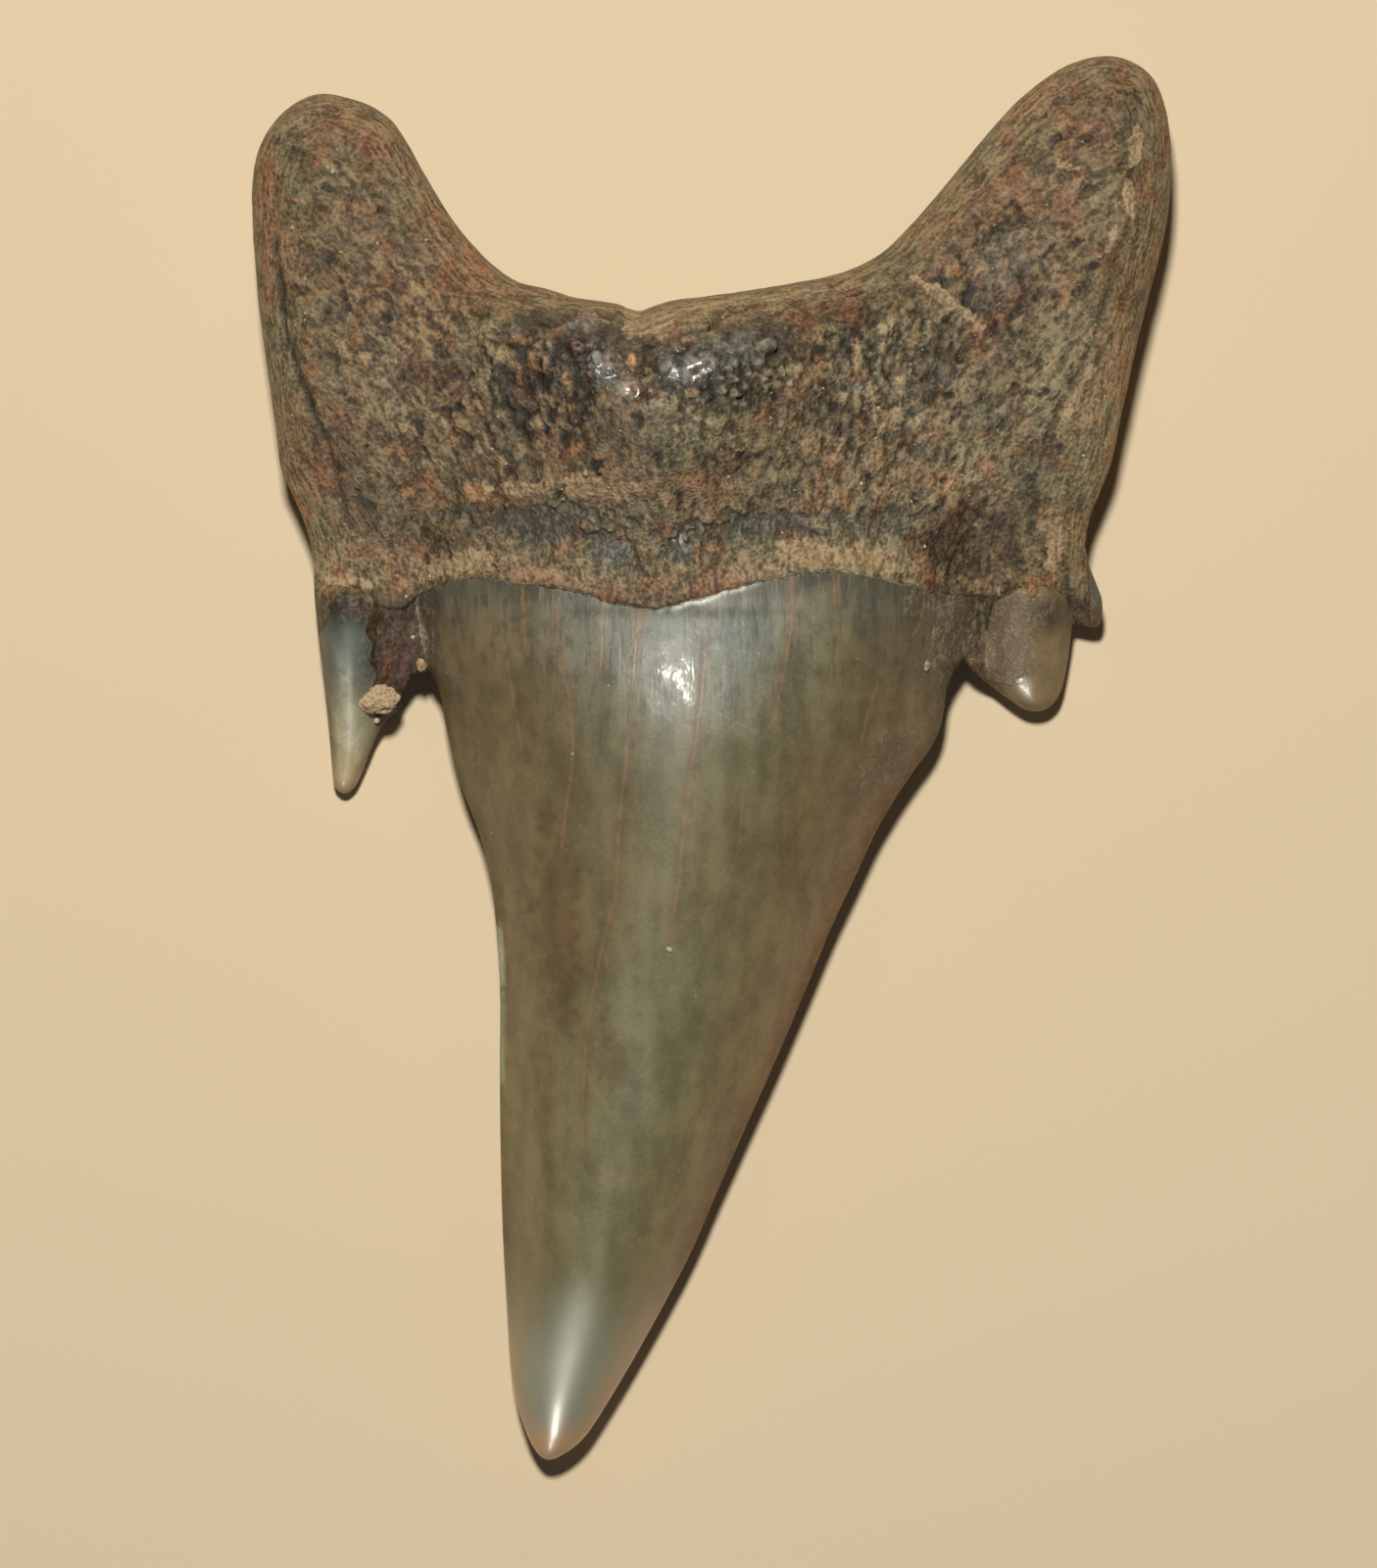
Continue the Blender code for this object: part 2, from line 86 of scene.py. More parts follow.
# %% Camera
PHOTO_PX = (1405, 1600)
PX_PER_MM = 34.143
TOOTH_MIDDLE_PX = (726, 775)
MARGIN_PLANE = 2.4  # height of most of the tooth's margin over the table
LENS = 180.0
SENSOR = 36.0

seen_height = PHOTO_PX[1] / PX_PER_MM
camera_x = (PHOTO_PX[0] / 2 - TOOTH_MIDDLE_PX[0]) / PX_PER_MM
camera_y = (TOOTH_MIDDLE_PX[1] - PHOTO_PX[1] / 2) / PX_PER_MM
camera_z = MARGIN_PLANE + seen_height * LENS / SENSOR

camera = bpy.data.objects.new("camera", bpy.data.cameras.new("camera"))
camera.data.lens = LENS
camera.data.sensor_width = SENSOR
camera.data.clip_start = 0.005
camera.data.clip_end = 10
camera.location = Vector((camera_x, camera_y, camera_z)) * MM
bpy.context.scene.collection.objects.link(camera)
bpy.context.scene.camera = camera
print("camera over", [round(v, 2) for v in (camera_x, camera_y, camera_z)], "mm")

# %% [markdown]
# ## Outline
# Seen from above the whole tooth is one outline. It could be traced with hundreds of points,
# but a smooth line through a few, in stretches that meet at the real corners, is easier to
# read and to correct. Each stretch is drawn clockwise, from the crown's tip.

# %% Outline
CROWN_LEFT = [(-4.85, -21.0), (-4.98, -20.98), (-5.14, -20.88), (-5.3, -20.68), (-5.46, -20.4),
              (-5.62, -20.0), (-5.78, -19.5), (-5.9, -19.0), (-6.04, -18.0), (-6.16, -16.0),
              (-6.26, -14.0), (-6.32, -11.5), (-6.34, -9.0), (-6.33, -7.0),
              (-6.43, -5.2), (-6.6, -3.7), (-6.95, -2.2), (-7.42, -1.0), (-7.72, 0.0),
              (-7.95, 1.0), (-8.08, 1.8), (-8.25, 2.3), (-8.5, 2.65)]
LEFT_CUSPLET = [(-8.5, 2.65), (-8.85, 2.58), (-9.1, 2.25), (-9.3, 1.85), (-9.4, 1.5),
                (-9.75, 1.2), (-10.02, 0.8), (-10.25, 0.3), (-10.5, -0.35), (-10.75, -0.83),
                (-11.05, -1.02), (-11.34, -0.8), (-11.42, -0.2), (-11.5, 1.0), (-11.63, 2.4),
                (-11.8, 4.0), (-11.88, 5.2), (-11.86, 5.9)]
ROOT = [(-11.86, 5.9), (-12.1, 6.9), (-12.5, 7.9), (-12.85, 8.7), (-13.0, 9.9), (-13.2, 11.4),
        (-13.48, 13.4), (-13.62, 15.1), (-13.7, 16.9), (-13.53, 18.1), (-13.05, 19.02),
        (-12.4, 19.6), (-11.7, 19.86), (-10.9, 19.76), (-10.1, 19.45), (-9.5, 19.0),
        (-9.0, 18.25), (-8.5, 17.35), (-7.9, 16.35), (-7.2, 15.4), (-6.4, 14.6),
        (-5.7, 14.15), (-4.9, 13.95), (-4.1, 13.68), (-3.3, 13.54), (-2.7, 13.42),
        (-2.25, 13.2), (-1.8, 13.35), (-1.2, 13.53), (-0.4, 13.65), (1.0, 13.83),
        (2.4, 14.1), (3.8, 14.42), (5.0, 15.02), (6.1, 16.1), (7.2, 17.4),
        (8.2, 18.62), (9.1, 19.6), (10.1, 20.42), (11.0, 20.88), (11.8, 21.0),
        (12.5, 20.86), (13.15, 20.35), (13.52, 19.5), (13.68, 18.5), (13.7, 17.4),
        (13.6, 16.2), (13.35, 15.0), (13.0, 13.7), (12.7, 12.5), (12.4, 11.1),
        (12.15, 10.0), (11.95, 8.95), (11.6, 8.0), (11.3, 7.2), (11.16, 6.4)]
SECOND_CUSPLET = [(11.16, 6.4), (11.3, 5.8), (11.55, 5.2), (11.7, 4.8), (11.72, 4.3), (11.6, 4.0),
                  (11.25, 4.0), (10.84, 4.08)]
RIGHT_CUSPLET = [(10.84, 4.08), (10.78, 3.5), (10.68, 2.8), (10.52, 2.1), (10.25, 1.66),
                 (9.85, 1.45), (9.4, 1.52), (8.9, 1.84), (8.4, 2.2), (7.95, 2.55), (7.5, 3.0)]
CROWN_RIGHT = [(7.5, 3.0), (7.22, 2.55), (7.02, 2.05), (6.95, 1.5), (6.82, 0.9), (6.55, 0.35),
               (6.15, -0.2), (5.7, -0.85), (5.3, -1.5), (4.9, -2.2), (4.3, -3.5), (3.6, -5.0),
               (2.77, -7.0), (1.92, -9.0), (1.03, -11.0), (0.15, -13.0), (-0.27, -14.0),
               (-0.73, -15.0), (-1.25, -16.0), (-1.79, -17.0), (-2.35, -18.0), (-2.94, -19.0),
               (-3.55, -19.98), (-3.86, -20.38), (-4.2, -20.68), (-4.5, -20.87), (-4.7, -20.97),
               (-4.85, -21.0)]
MARGIN_STEP = 0.09


def catmull_rom(points, per_span=12):
    """A smooth line through the points, as many short straight pieces."""
    given = np.array(points, float)
    given = np.vstack([2 * given[0] - given[1], given, 2 * given[-1] - given[-2]])
    t = np.linspace(0, 1, per_span, endpoint=False)[:, None]
    spans = []
    for a, b, c, d in zip(given, given[1:], given[2:], given[3:]):
        spans.append(0.5 * (2 * b + (c - a) * t + (2 * a - 5 * b + 4 * c - d) * t**2
                            + (3 * b - a - 3 * c + d) * t**3))
    return np.vstack(spans + [given[-2:-1]])


def evenly(line, step):
    """The same line with its points about one step apart, both ends kept."""
    along = np.concatenate([[0], np.cumsum(np.hypot(*np.diff(line, axis=0).T))])
    stations = np.linspace(0, along[-1], max(2, round(along[-1] / step)) + 1)
    return np.column_stack([np.interp(stations, along, line[:, i]) for i in (0, 1)])


def profile(table):
    """A smooth function of one variable through the table's pairs."""
    line = catmull_rom(table)
    order = np.argsort(line[:, 0], kind="stable")
    return lambda t: np.interp(t, line[order, 0], line[order, 1])


stretches = (CROWN_LEFT, LEFT_CUSPLET, ROOT, SECOND_CUSPLET, RIGHT_CUSPLET, CROWN_RIGHT)
margin_loop = np.vstack([evenly(catmull_rom(s), MARGIN_STEP)[:-1] for s in stretches])
print("outline:", len(margin_loop), "points, box", margin_loop.min(axis=0), margin_loop.max(axis=0))

# %% [markdown]
# ## Form
# A tooth like this could be lofted through cross sections, but its root, crown and cusplets
# run into each other. Two height fields over the one outline are simpler: the inner face
# looks up, the outer face lies on the table, and both end on the margin, the edge that runs
# round the tooth. Every form is a function of x and y, and forms are joined by taking the
# higher one with the seam rounded over.

# %% Curves and seams
def smooth_step(t):
    t = np.clip(t, 0, 1)
    return t * t * (3 - 2 * t)


def hump(x, middle, width):
    return np.exp(-(((x - middle) / width) ** 2))


def higher(a, b, blend):
    """The higher of two surfaces, with their crossing rounded over."""
    return np.maximum(a, b) + np.maximum(blend - np.abs(a - b), 0) ** 2 / (4 * blend)


def lower(a, b, blend):
    """The lower of two surfaces, with their crossing rounded over."""
    return -higher(-a, -b, blend)


def rounded(distance, width):
    """A quarter round: 0 at the margin, 1 from one width inwards."""
    t = np.clip(distance / width, 0, 1)
    return np.sqrt(1 - (1 - t) ** 2)


# %% Distance to the outline
def distance_to(loop, x, y):
    """How far each point is from a closed line, by the two pieces that meet at its nearest point."""
    points = np.column_stack([x, y])
    nearest = nearest_on(loop, x, y)
    found = np.full(len(points), np.inf)
    for back in (1, 0):
        start = loop[nearest - back]
        along = loop[(nearest - back + 1) % len(loop)] - start
        t = np.clip(((points - start) * along).sum(axis=1) / (along**2).sum(axis=1), 0, 1)
        found = np.minimum(found, np.hypot(*(points - start - t[:, None] * along).T))
    return found


def nearest_on(line, x, y, what=1):
    """For each point, the number of the line's nearest point, or with what=2 how far it is."""
    tree = kdtree.KDTree(len(line))
    for i, (a, b) in enumerate(line):
        tree.insert((a, b, 0), i)
    tree.balance()
    return np.array([tree.find((a, b, 0))[what] for a, b in zip(x, y)])


def inside(loop, x, y):
    """Which points lie inside a closed line, by counting crossings to the right."""
    found = np.zeros(len(x), bool)
    for (ax, ay), (bx, by) in zip(loop, np.roll(loop, -1, axis=0)):
        if ay != by:
            crossed = ((ay > y) != (by > y)) & (x < (bx - ax) * (y - ay) / (by - ay) + ax)
            found ^= crossed
    return found


# %% [markdown]
# ## Margin
# The two faces could meet in a level line, which is easy to make but makes a tooth look
# stamped. On a real tooth the edge climbs under the bulge of the root, dips at the small
# cusplets, and comes down to the table at the tip.

# %% Height of the margin
MARGIN_HEIGHT = [(-21.0, 1.5), (-18.0, 1.6), (-14.0, 1.76), (-10.0, 1.9), (-6.0, 1.98), (-2.0, 2.05),
                 (2.0, 2.1), (5.0, 2.2), (8.0, 2.7), (12.0, 3.0), (16.0, 2.9), (21.5, 2.45)]
BASAL_RISE = 2.1
BASAL_RISE_WIDTH = 5.5
BASAL_RISE_FROM_Y = 7.5
BASAL_RISE_RUN = 5.5
BULGE_X = -1.0
LEFT_DROOP = 1.45
LEFT_DROOP_FROM = (-8.6, 4.5)
LEFT_DROOP_RUN = (1.2, 5.5)
RIGHT_DROOP = 1.05
RIGHT_DROOP_FROM = (7.4, 6.6)
RIGHT_DROOP_RUN = (1.2, 3.6)
margin_along = profile(MARGIN_HEIGHT)


def margin_height(x, y):
    """Height of the edge between the two faces. It rises under the bulge and drops at the cusplets."""
    behind = smooth_step((y - BASAL_RISE_FROM_Y) / BASAL_RISE_RUN)
    height = margin_along(y) + BASAL_RISE * hump(x, BULGE_X, BASAL_RISE_WIDTH) * behind
    outwards = smooth_step((LEFT_DROOP_FROM[0] - x) / LEFT_DROOP_RUN[0])
    height = height - LEFT_DROOP * outwards * smooth_step((LEFT_DROOP_FROM[1] - y) / LEFT_DROOP_RUN[1])
    outwards = smooth_step((x - RIGHT_DROOP_FROM[0]) / RIGHT_DROOP_RUN[0])
    return height - RIGHT_DROOP * outwards * smooth_step((RIGHT_DROOP_FROM[1] - y) / RIGHT_DROOP_RUN[1])


heights = margin_height(*margin_loop.T)
print("margin is", round(float(heights.min()), 2), "to", round(float(heights.max()), 2), "mm high")

# %% [markdown]
# ## Crown
# The crown is a blade: rounded on both faces, fullest near its base, with two cutting edges
# that run on a little way into the root. Its section across is a power of a parabola, so one
# number a height sets how full it is, and a second table sets how high.

# %% Crown
CROWN_RIDGE = [(-21.0, 0.0), (-20.8, 0.5), (-20.5, 0.8), (-20.0, 1.16), (-19.0, 1.68), (-18.0, 2.06),
               (-17.0, 2.38), (-15.0, 2.82), (-11.0, 3.52), (-7.0, 4.18), (-3.0, 4.8), (0.5, 5.12),
               (2.5, 4.93), (4.0, 4.58), (5.0, 4.28), (8.0, 4.1)]
CROWN_BELLY = [(-21.0, 0.0), (-20.6, 0.25), (-20.0, 0.42), (-18.0, 0.78), (-15.0, 1.18), (-11.0, 1.62),
               (-7.0, 1.93), (-4.0, 2.1), (-1.0, 2.07), (2.0, 1.95), (5.0, 1.8), (8.0, 1.75)]
CROWN_FULLNESS = [(-21.0, 0.6), (-18.0, 0.72), (-12.0, 0.88), (-2.0, 0.92), (3.0, 0.66), (5.0, 0.5),
                  (8.0, 0.5)]
BELLY_FULLNESS = 1.0
CREST_SHIFT = 0.048  # how far left of the middle the crest lies, as a share of the half width
CREST_SHIFT_Y = 2.5
CREST_SHIFT_RUN = 3.5
LEFT_EDGE_IN_ROOT = [(-8.75, 4.0), (-8.95, 5.5), (-9.0, 7.5)]
RIGHT_EDGE_IN_ROOT = [(8.0, 7.5), (7.95, 5.5), (7.85, 4.0)]
LEAST_HALF_WIDTH = 0.02
DIVE = 2.5  # how steeply a form drops away where another one takes over
ridge_along = profile(CROWN_RIDGE)
belly_along = profile(CROWN_BELLY)
fullness_along = profile(CROWN_FULLNESS)
left_edge = profile([(y, x) for x, y in CROWN_LEFT + LEFT_EDGE_IN_ROOT])
right_edge = profile([(y, x) for x, y in RIGHT_EDGE_IN_ROOT + CROWN_RIGHT])


def across(x, left, right):
    """Place between two edges: -1 on the left one, 1 on the right one."""
    return (x - (left + right) / 2) / np.maximum((right - left) / 2, LEAST_HALF_WIDTH)


def crown_section(x, y, fullness):
    """The crown's rounding across: 0 on both cutting edges, 1 on the crest."""
    place = across(x, left_edge(y), right_edge(y))
    place = place + CREST_SHIFT * hump(y, CREST_SHIFT_Y, CREST_SHIFT_RUN) * (1 - place**2)
    return np.clip(1 - place**2, 0, 1) ** fullness


def crown_over(x, y):
    """The crown's inner face, as it would run on under the root. Beside the crown it drops away."""
    beside_crown = np.maximum(np.maximum(left_edge(y) - x, x - right_edge(y)), 0)
    height = margin_along(y) + ridge_along(y) * crown_section(x, y, fullness_along(y))
    return height - DIVE * beside_crown


def crown_under(x, y):
    """The crown's outer face."""
    return margin_along(y) - belly_along(y) * crown_section(x, y, BELLY_FULLNESS)


crown_top = crown_over(np.array([-1.2]), np.array([0.5]))[0]
print("crown's middle line is", round(float(crown_top), 2), "mm high")

# %% [markdown]
# ## Cusplets
# Beside the crown stand small side teeth: a long one at the left, a broad worn one at the
# right, and a tiny one that leans on it. Each could be a cone of its own, cut into the root.
# Here each is the upper half of a cone as a height field, so the seam can be rounded.

# %% Cusplets
LEFT_CONE = {
    "left": [(-1.02, -11.05), (-0.8, -11.34), (-0.2, -11.42), (2.4, -11.63), (5.2, -11.88), (7.0, -12.0)],
    "right": [(-1.02, -11.05), (-0.83, -10.75), (-0.35, -10.5), (0.8, -10.1), (3.0, -9.85), (7.0, -9.5)],
    "height": [(-1.02, 0.0), (-0.8, 0.36), (-0.5, 0.56), (0.5, 0.88), (2.0, 1.3), (4.5, 1.75), (7.0, 1.85)],
}
RIGHT_CONE = {
    "left": [(1.45, 9.85), (1.55, 9.3), (2.2, 8.45), (3.0, 7.95), (4.5, 7.95), (7.0, 8.0)],
    "right": [(1.45, 9.85), (1.66, 10.25), (2.1, 10.52), (3.5, 10.78), (5.0, 10.9), (7.0, 10.9)],
    "height": [(1.45, 0.0), (1.6, 0.6), (1.9, 0.92), (2.4, 1.24), (3.2, 1.7), (5.0, 2.3), (7.0, 2.4)],
}
SECOND_CONE = {
    "left": [(3.95, 11.45), (4.05, 11.1), (4.5, 10.95), (5.5, 10.8), (7.0, 10.7)],
    "right": [(3.95, 11.45), (4.1, 11.68), (4.6, 11.74), (5.4, 11.5), (7.0, 11.2)],
    "height": [(3.95, 0.0), (4.2, 0.45), (4.8, 0.75), (5.6, 0.95), (7.0, 1.0)],
}
CONE_FULLNESS = 0.6
OUTSIDE = -9.0


def cone_over(cone, x, y, edge):
    """The upper half of a cusplet's cone, or far below the tooth outside it."""
    place = across(x, profile(cone["left"])(y), profile(cone["right"])(y))
    section = np.clip(1 - place**2, 0, 1) ** CONE_FULLNESS
    tip = cone["left"][0][0]
    height = edge + profile(cone["height"])(np.maximum(y, tip)) * section
    return np.where((np.abs(place) < 1) & (y > tip), height, OUTSIDE)


for cone in (LEFT_CONE, RIGHT_CONE, SECOND_CONE):
    print("cusplet with its tip at x", cone["left"][0][1], "y", cone["left"][0][0])

# %% [markdown]
# ## Root
# The root is one thick arch of bone. It steps up from the crown at the neck, swells into a
# bulge with a groove for the blood vessels, and runs out into two lobes. A curve along the
# neck says where it starts. From there a smooth climb leads to the crest, and a quarter
# round leads down to the margin. On the outer face it is hollow, with a pad on each lobe.

# %% Inner face of the root
NECK = [(-13.0, 4.9), (-11.0, 4.9), (-9.4, 4.6), (-8.6, 4.95), (-7.3, 5.35), (-5.7, 5.17),
        (-4.2, 4.95), (-2.9, 4.6), (-1.7, 4.4), (-0.6, 4.65), (0.8, 5.05), (2.4, 5.4),
        (3.8, 5.5), (5.6, 5.15), (7.0, 4.85), (9.2, 5.0), (11.0, 4.6), (13.0, 4.3)]
SIDE_NECK_HEIGHT = 3.2
SIDE_SEAM = 0.8
ENAMEL_LIP = 0.27
LOBE_CREST = 5.6
LOBE_TAPER_FROM_Y = 12.0
LOBE_TAPER = 0.13
BULGE_RISE = 3.9
BULGE_WIDTH = 5.2
BULGE_TILT = 0.11
BULGE_TILT_FROM_Y = 10.2
CREST_STARTS_PAST_NECK = 0.4
CREST_FROM_NECK = 6.0
KNOBS = [(-3.6, 11.7, 0.9, 0.35), (-0.3, 11.5, 1.1, 0.3), (1.6, 12.3, 0.8, 0.18)]  # x, y, radius, rise
GROOVE_X = -2.3
GROOVE_WIDTH = 0.5
GROOVE_DEPTH = 0.55
GROOVE_FROM_Y = 9.6
GROOVE_RUN = 3.0
WAVE_SIZE = 2.6
WAVE_HEIGHT = 0.16
WAVES_START_OVER = 1.5
WAVES_PLACE = 3.7
NOISE_TO_ONE = 1.6  # brings the noise, which stays within about 0.6, to between -1 and 1
ROOT_ROUNDING = 2.45
neck_line = profile(NECK)


def waves(x, y, size):
    """Slow random waves between about -1 and 1, the same on each run."""
    found = [noise.noise(Vector((a / size, b / size, WAVES_PLACE))) for a, b in zip(x, y)]
    return np.array(found) * NOISE_TO_ONE


def root_over(x, y, edge, distance):
    """The root's inner face: from the neck up over the bulge, and out along the lobes."""
    neck = neck_line(x)
    at_neck = higher(crown_over(x, neck) - ENAMEL_LIP, np.full_like(x, SIDE_NECK_HEIGHT), SIDE_SEAM)
    crest = LOBE_CREST + BULGE_RISE * hump(x, BULGE_X, BULGE_WIDTH)
    crest = crest - LOBE_TAPER * np.maximum(y - LOBE_TAPER_FROM_Y, 0)
    crest = crest - BULGE_TILT * np.maximum(y - BULGE_TILT_FROM_Y, 0) * hump(x, BULGE_X, BULGE_WIDTH)
    climb = smooth_step((y - neck - CREST_STARTS_PAST_NECK) / CREST_FROM_NECK)
    body = at_neck + (crest - at_neck) * climb
    for knob_x, knob_y, radius, rise in KNOBS:
        body = body + rise * hump(np.hypot(x - knob_x, y - knob_y), 0, radius)
    in_groove = hump(x, GROOVE_X, GROOVE_WIDTH) * smooth_step((y - GROOVE_FROM_Y) / GROOVE_RUN)
    body = body - GROOVE_DEPTH * in_groove
    body = body + WAVE_HEIGHT * waves(x, y, WAVE_SIZE) * smooth_step((y - neck) / WAVES_START_OVER)
    height = edge + (body - edge) * rounded(distance, ROOT_ROUNDING)
    return height - DIVE * np.maximum(neck - y, 0)


# %% Outer face of the root
HOLLOW_HEIGHT = 0.95
PAD_DEPTH = 1.05
PAD_RADIUS = 3.1
PADS = [(-11.25, 16.2), (11.7, 17.0)]
UNDER_ROUNDING = 2.2


def root_under(x, y, edge, distance):
    """The root's outer face: hollow, with a pad on each lobe."""
    depth = np.full_like(x, HOLLOW_HEIGHT)
    for pad_x, pad_y in PADS:
        depth = depth - PAD_DEPTH * hump(np.hypot(x - pad_x, y - pad_y), 0, PAD_RADIUS)
    return edge - (edge - depth) * rounded(distance, UNDER_ROUNDING)


# %% [markdown]
# ## Both faces
# Between the crown and each cusplet a thin web of bone fills the corner. The faces are now
# put together from root, crown, cusplets and webs. The root lies over the crown at the neck,
# so the crown's form is sent down steeply behind the neck line and never shows through.

# %% Both faces
WEB_ROUNDING = 1.2
WEB_RISE = 0.8
WEB_DROP = 0.85
WEB_DROP_OF_HEIGHT = 0.7  # the most that the web may drop, as a share of the margin's height
NECK_SEAM = 0.1
CUSPLET_SEAM = 0.3
LABIAL_BASE = 0.7  # how far past the neck the crown's form goes on, on the outer face
LABIAL_STEP = 1.1


def face_up(x, y, edge, distance):
    """The inner face: crown and cusplets below the neck, root above it, webs between."""
    past_neck = np.maximum(y - neck_line(x), 0)
    over = higher(root_over(x, y, edge, distance), crown_over(x, y) - DIVE * past_neck, NECK_SEAM)
    over = higher(over, edge + WEB_RISE * rounded(distance, WEB_ROUNDING), CUSPLET_SEAM)
    for cone in (LEFT_CONE, RIGHT_CONE, SECOND_CONE):
        over = higher(over, cone_over(cone, x, y, edge) - DIVE * past_neck, CUSPLET_SEAM)
    return over


def face_down(x, y, edge, distance):
    """The outer face, which rests on the table: the crown's belly and the pads are flat there."""
    drop = np.minimum(WEB_DROP, WEB_DROP_OF_HEIGHT * edge)
    crown = lower(crown_under(x, y), edge - drop * rounded(distance, WEB_ROUNDING), CUSPLET_SEAM)
    on_root = smooth_step((y - neck_line(x) - LABIAL_BASE) / LABIAL_STEP)
    under = crown * (1 - on_root) + root_under(x, y, edge, distance) * on_root
    return np.maximum(under, 0)


# %% [markdown]
# ## Fine mesh
# The pits in the bone are a few tenths of a millimetre wide, so the root needs points closer
# than a tenth apart, while the smooth crown needs fewer. A subdivided grid would spend points
# evenly. A Delaunay triangulation takes any points, so the lattice can be fine where the
# detail is, and rows of points can follow the neck, the cracks and the margin.

# %% Lines that the mesh follows
CRACKS = [
    [(-4.55, 4.95), (-4.46, 3.0), (-4.2, 1.8), (-4.1, 0.0), (-4.3, -1.5), (-4.45, -2.6)],
    [(-2.1, 4.3), (-2.25, 2.8), (-2.35, 1.6), (-2.5, 0.0), (-2.6, -0.8), (-2.75, -2.4), (-2.8, -3.8),
     (-3.15, -5.2), (-3.55, -7.1), (-3.75, -9.0), (-3.85, -11.5)],
    [(-0.2, 3.6), (-0.3, 2.1), (-0.5, 0.5), (-0.8, -1.7), (-0.95, -3.4), (-1.1, -4.4), (-1.2, -5.2)],
    [(-3.25, 4.5), (-3.2, 3.3), (-3.3, 2.6)],
    [(-5.6, 5.1), (-5.55, 4.2), (-5.5, 3.4)],
    [(-6.1, 3.4), (-5.9, 2.0), (-5.6, 0.3)],
    [(2.35, 5.3), (2.3, 3.9), (2.1, 2.6), (1.85, 1.2)],
    [(2.84, 0.0), (2.7, -0.9), (2.5, -1.85)],
    [(0.88, -1.0), (0.84, -1.9), (0.8, -2.7)],
    [(4.9, 2.2), (4.6, 1.3), (4.4, 0.4)],
    [(3.6, 5.35), (3.62, 4.6)],
    [(6.3, 4.5), (6.1, 3.9), (5.75, 3.4)],
]
CREVICES = [
    [(-2.1, 11.95), (-1.6, 12.1), (-1.0, 12.37), (-0.1, 12.6), (0.3, 12.95), (1.35, 13.2), (2.0, 13.1)],
    [(-2.9, 13.0), (-3.4, 12.95), (-4.1, 12.95), (-4.7, 12.75)],
]
SCRATCHES = [
    [(-0.9, 3.35), (1.4, 3.1)], [(-0.2, 1.55), (1.35, 0.75)], [(-1.9, 1.5), (-0.6, 0.9)],
    [(0.35, 1.5), (0.95, 1.05)], [(-0.6, 2.95), (0.7, 2.6)], [(0.1, 3.5), (0.4, 2.5)],
    [(-1.6, 3.3), (-1.35, 2.2)], [(0.5, 0.9), (1.1, 1.3)],
]
LEFT_CREASE = [(-12.95, 15.5), (-12.66, 12.8), (-12.24, 11.26), (-11.72, 10.1), (-11.2, 8.5), (-10.9, 7.3)]
RIGHT_CREASE = [(12.57, 19.2), (12.4, 16.0), (11.2, 12.3), (10.3, 10.4), (9.6, 8.2), (9.45, 6.6)]
CRACK_ROWS = (-0.12, -0.06, -0.025, 0, 0.025, 0.06, 0.12)
SCRATCH_ROWS = (-0.08, -0.03, 0, 0.03, 0.08)
NECK_ROWS = (-0.1, -0.05, -0.015, 0.015, 0.05, 0.1)
ROW_STEP = 0.09
NECK_RAGGED = 0.05
NECK_RAGGED_SIZE = 0.32


def beside(line, offset):
    """The same line moved sideways."""
    along = np.gradient(line, axis=0)
    along = along / np.hypot(*along.T)[:, None]
    return line + np.column_stack([along[:, 1], -along[:, 0]]) * offset


def rows_along(table, offsets):
    """Rows of points on both sides of a line."""
    line = evenly(catmull_rom(table), ROW_STEP)
    return np.vstack([beside(line, offset) for offset in offsets])


smooth_neck = neck_line


def neck_line(x):
    """The neck with the small unevenness of its edge."""
    wobble = [noise.noise(Vector((a / NECK_RAGGED_SIZE, 0.5, 1.5))) for a in x]
    return smooth_neck(x) + NECK_RAGGED * np.array(wobble)


# %% Points and triangles
ROOT_LATTICE = 0.081
CROWN_LATTICE = 0.16
UNDER_LATTICE = 0.26
FINE_FROM_Y = 3.6
TIP_FINE_BELOW_Y = -15.8
OVER_INSETS = (0.007, 0.03, 0.06, 0.11, 0.17, 0.24, 0.32, 0.42)
UNDER_INSETS = (0.02, 0.08, 0.2, 0.38)
LEAST_INSET_SHARE = 0.93  # a point of a row that another side of the outline comes nearer to is left out
CUSPLET_PAST_EDGE = 0.05
LATTICE_CLEARANCE = 0.6
NECK_ROWS_X = (-11.5, 10.5)


def inset_rows(loop, insets):
    """Rows of points that follow the outline at each inset, where the tooth is wide enough."""
    along = np.roll(loop, -1, axis=0) - np.roll(loop, 1, axis=0)
    along = along / np.hypot(*along.T)[:, None]
    inward = np.column_stack([along[:, 1], -along[:, 0]])
    rows = []
    for inset in insets:
        row = loop + inward * inset
        kept = inside(loop, *row.T) & (distance_to(loop, *row.T) > LEAST_INSET_SHARE * inset)
        rows.append(row[kept])
    return np.vstack(rows)


def is_fine(points):
    """The root, the cusplets and the glossy tip are fine. The crown between them is not."""
    x, y = points.T
    on_cusplet = (x < left_edge(y) - CUSPLET_PAST_EDGE) | (x > right_edge(y) + CUSPLET_PAST_EDGE)
    return (y > FINE_FROM_Y) | (y < TIP_FINE_BELOW_Y) | on_cusplet


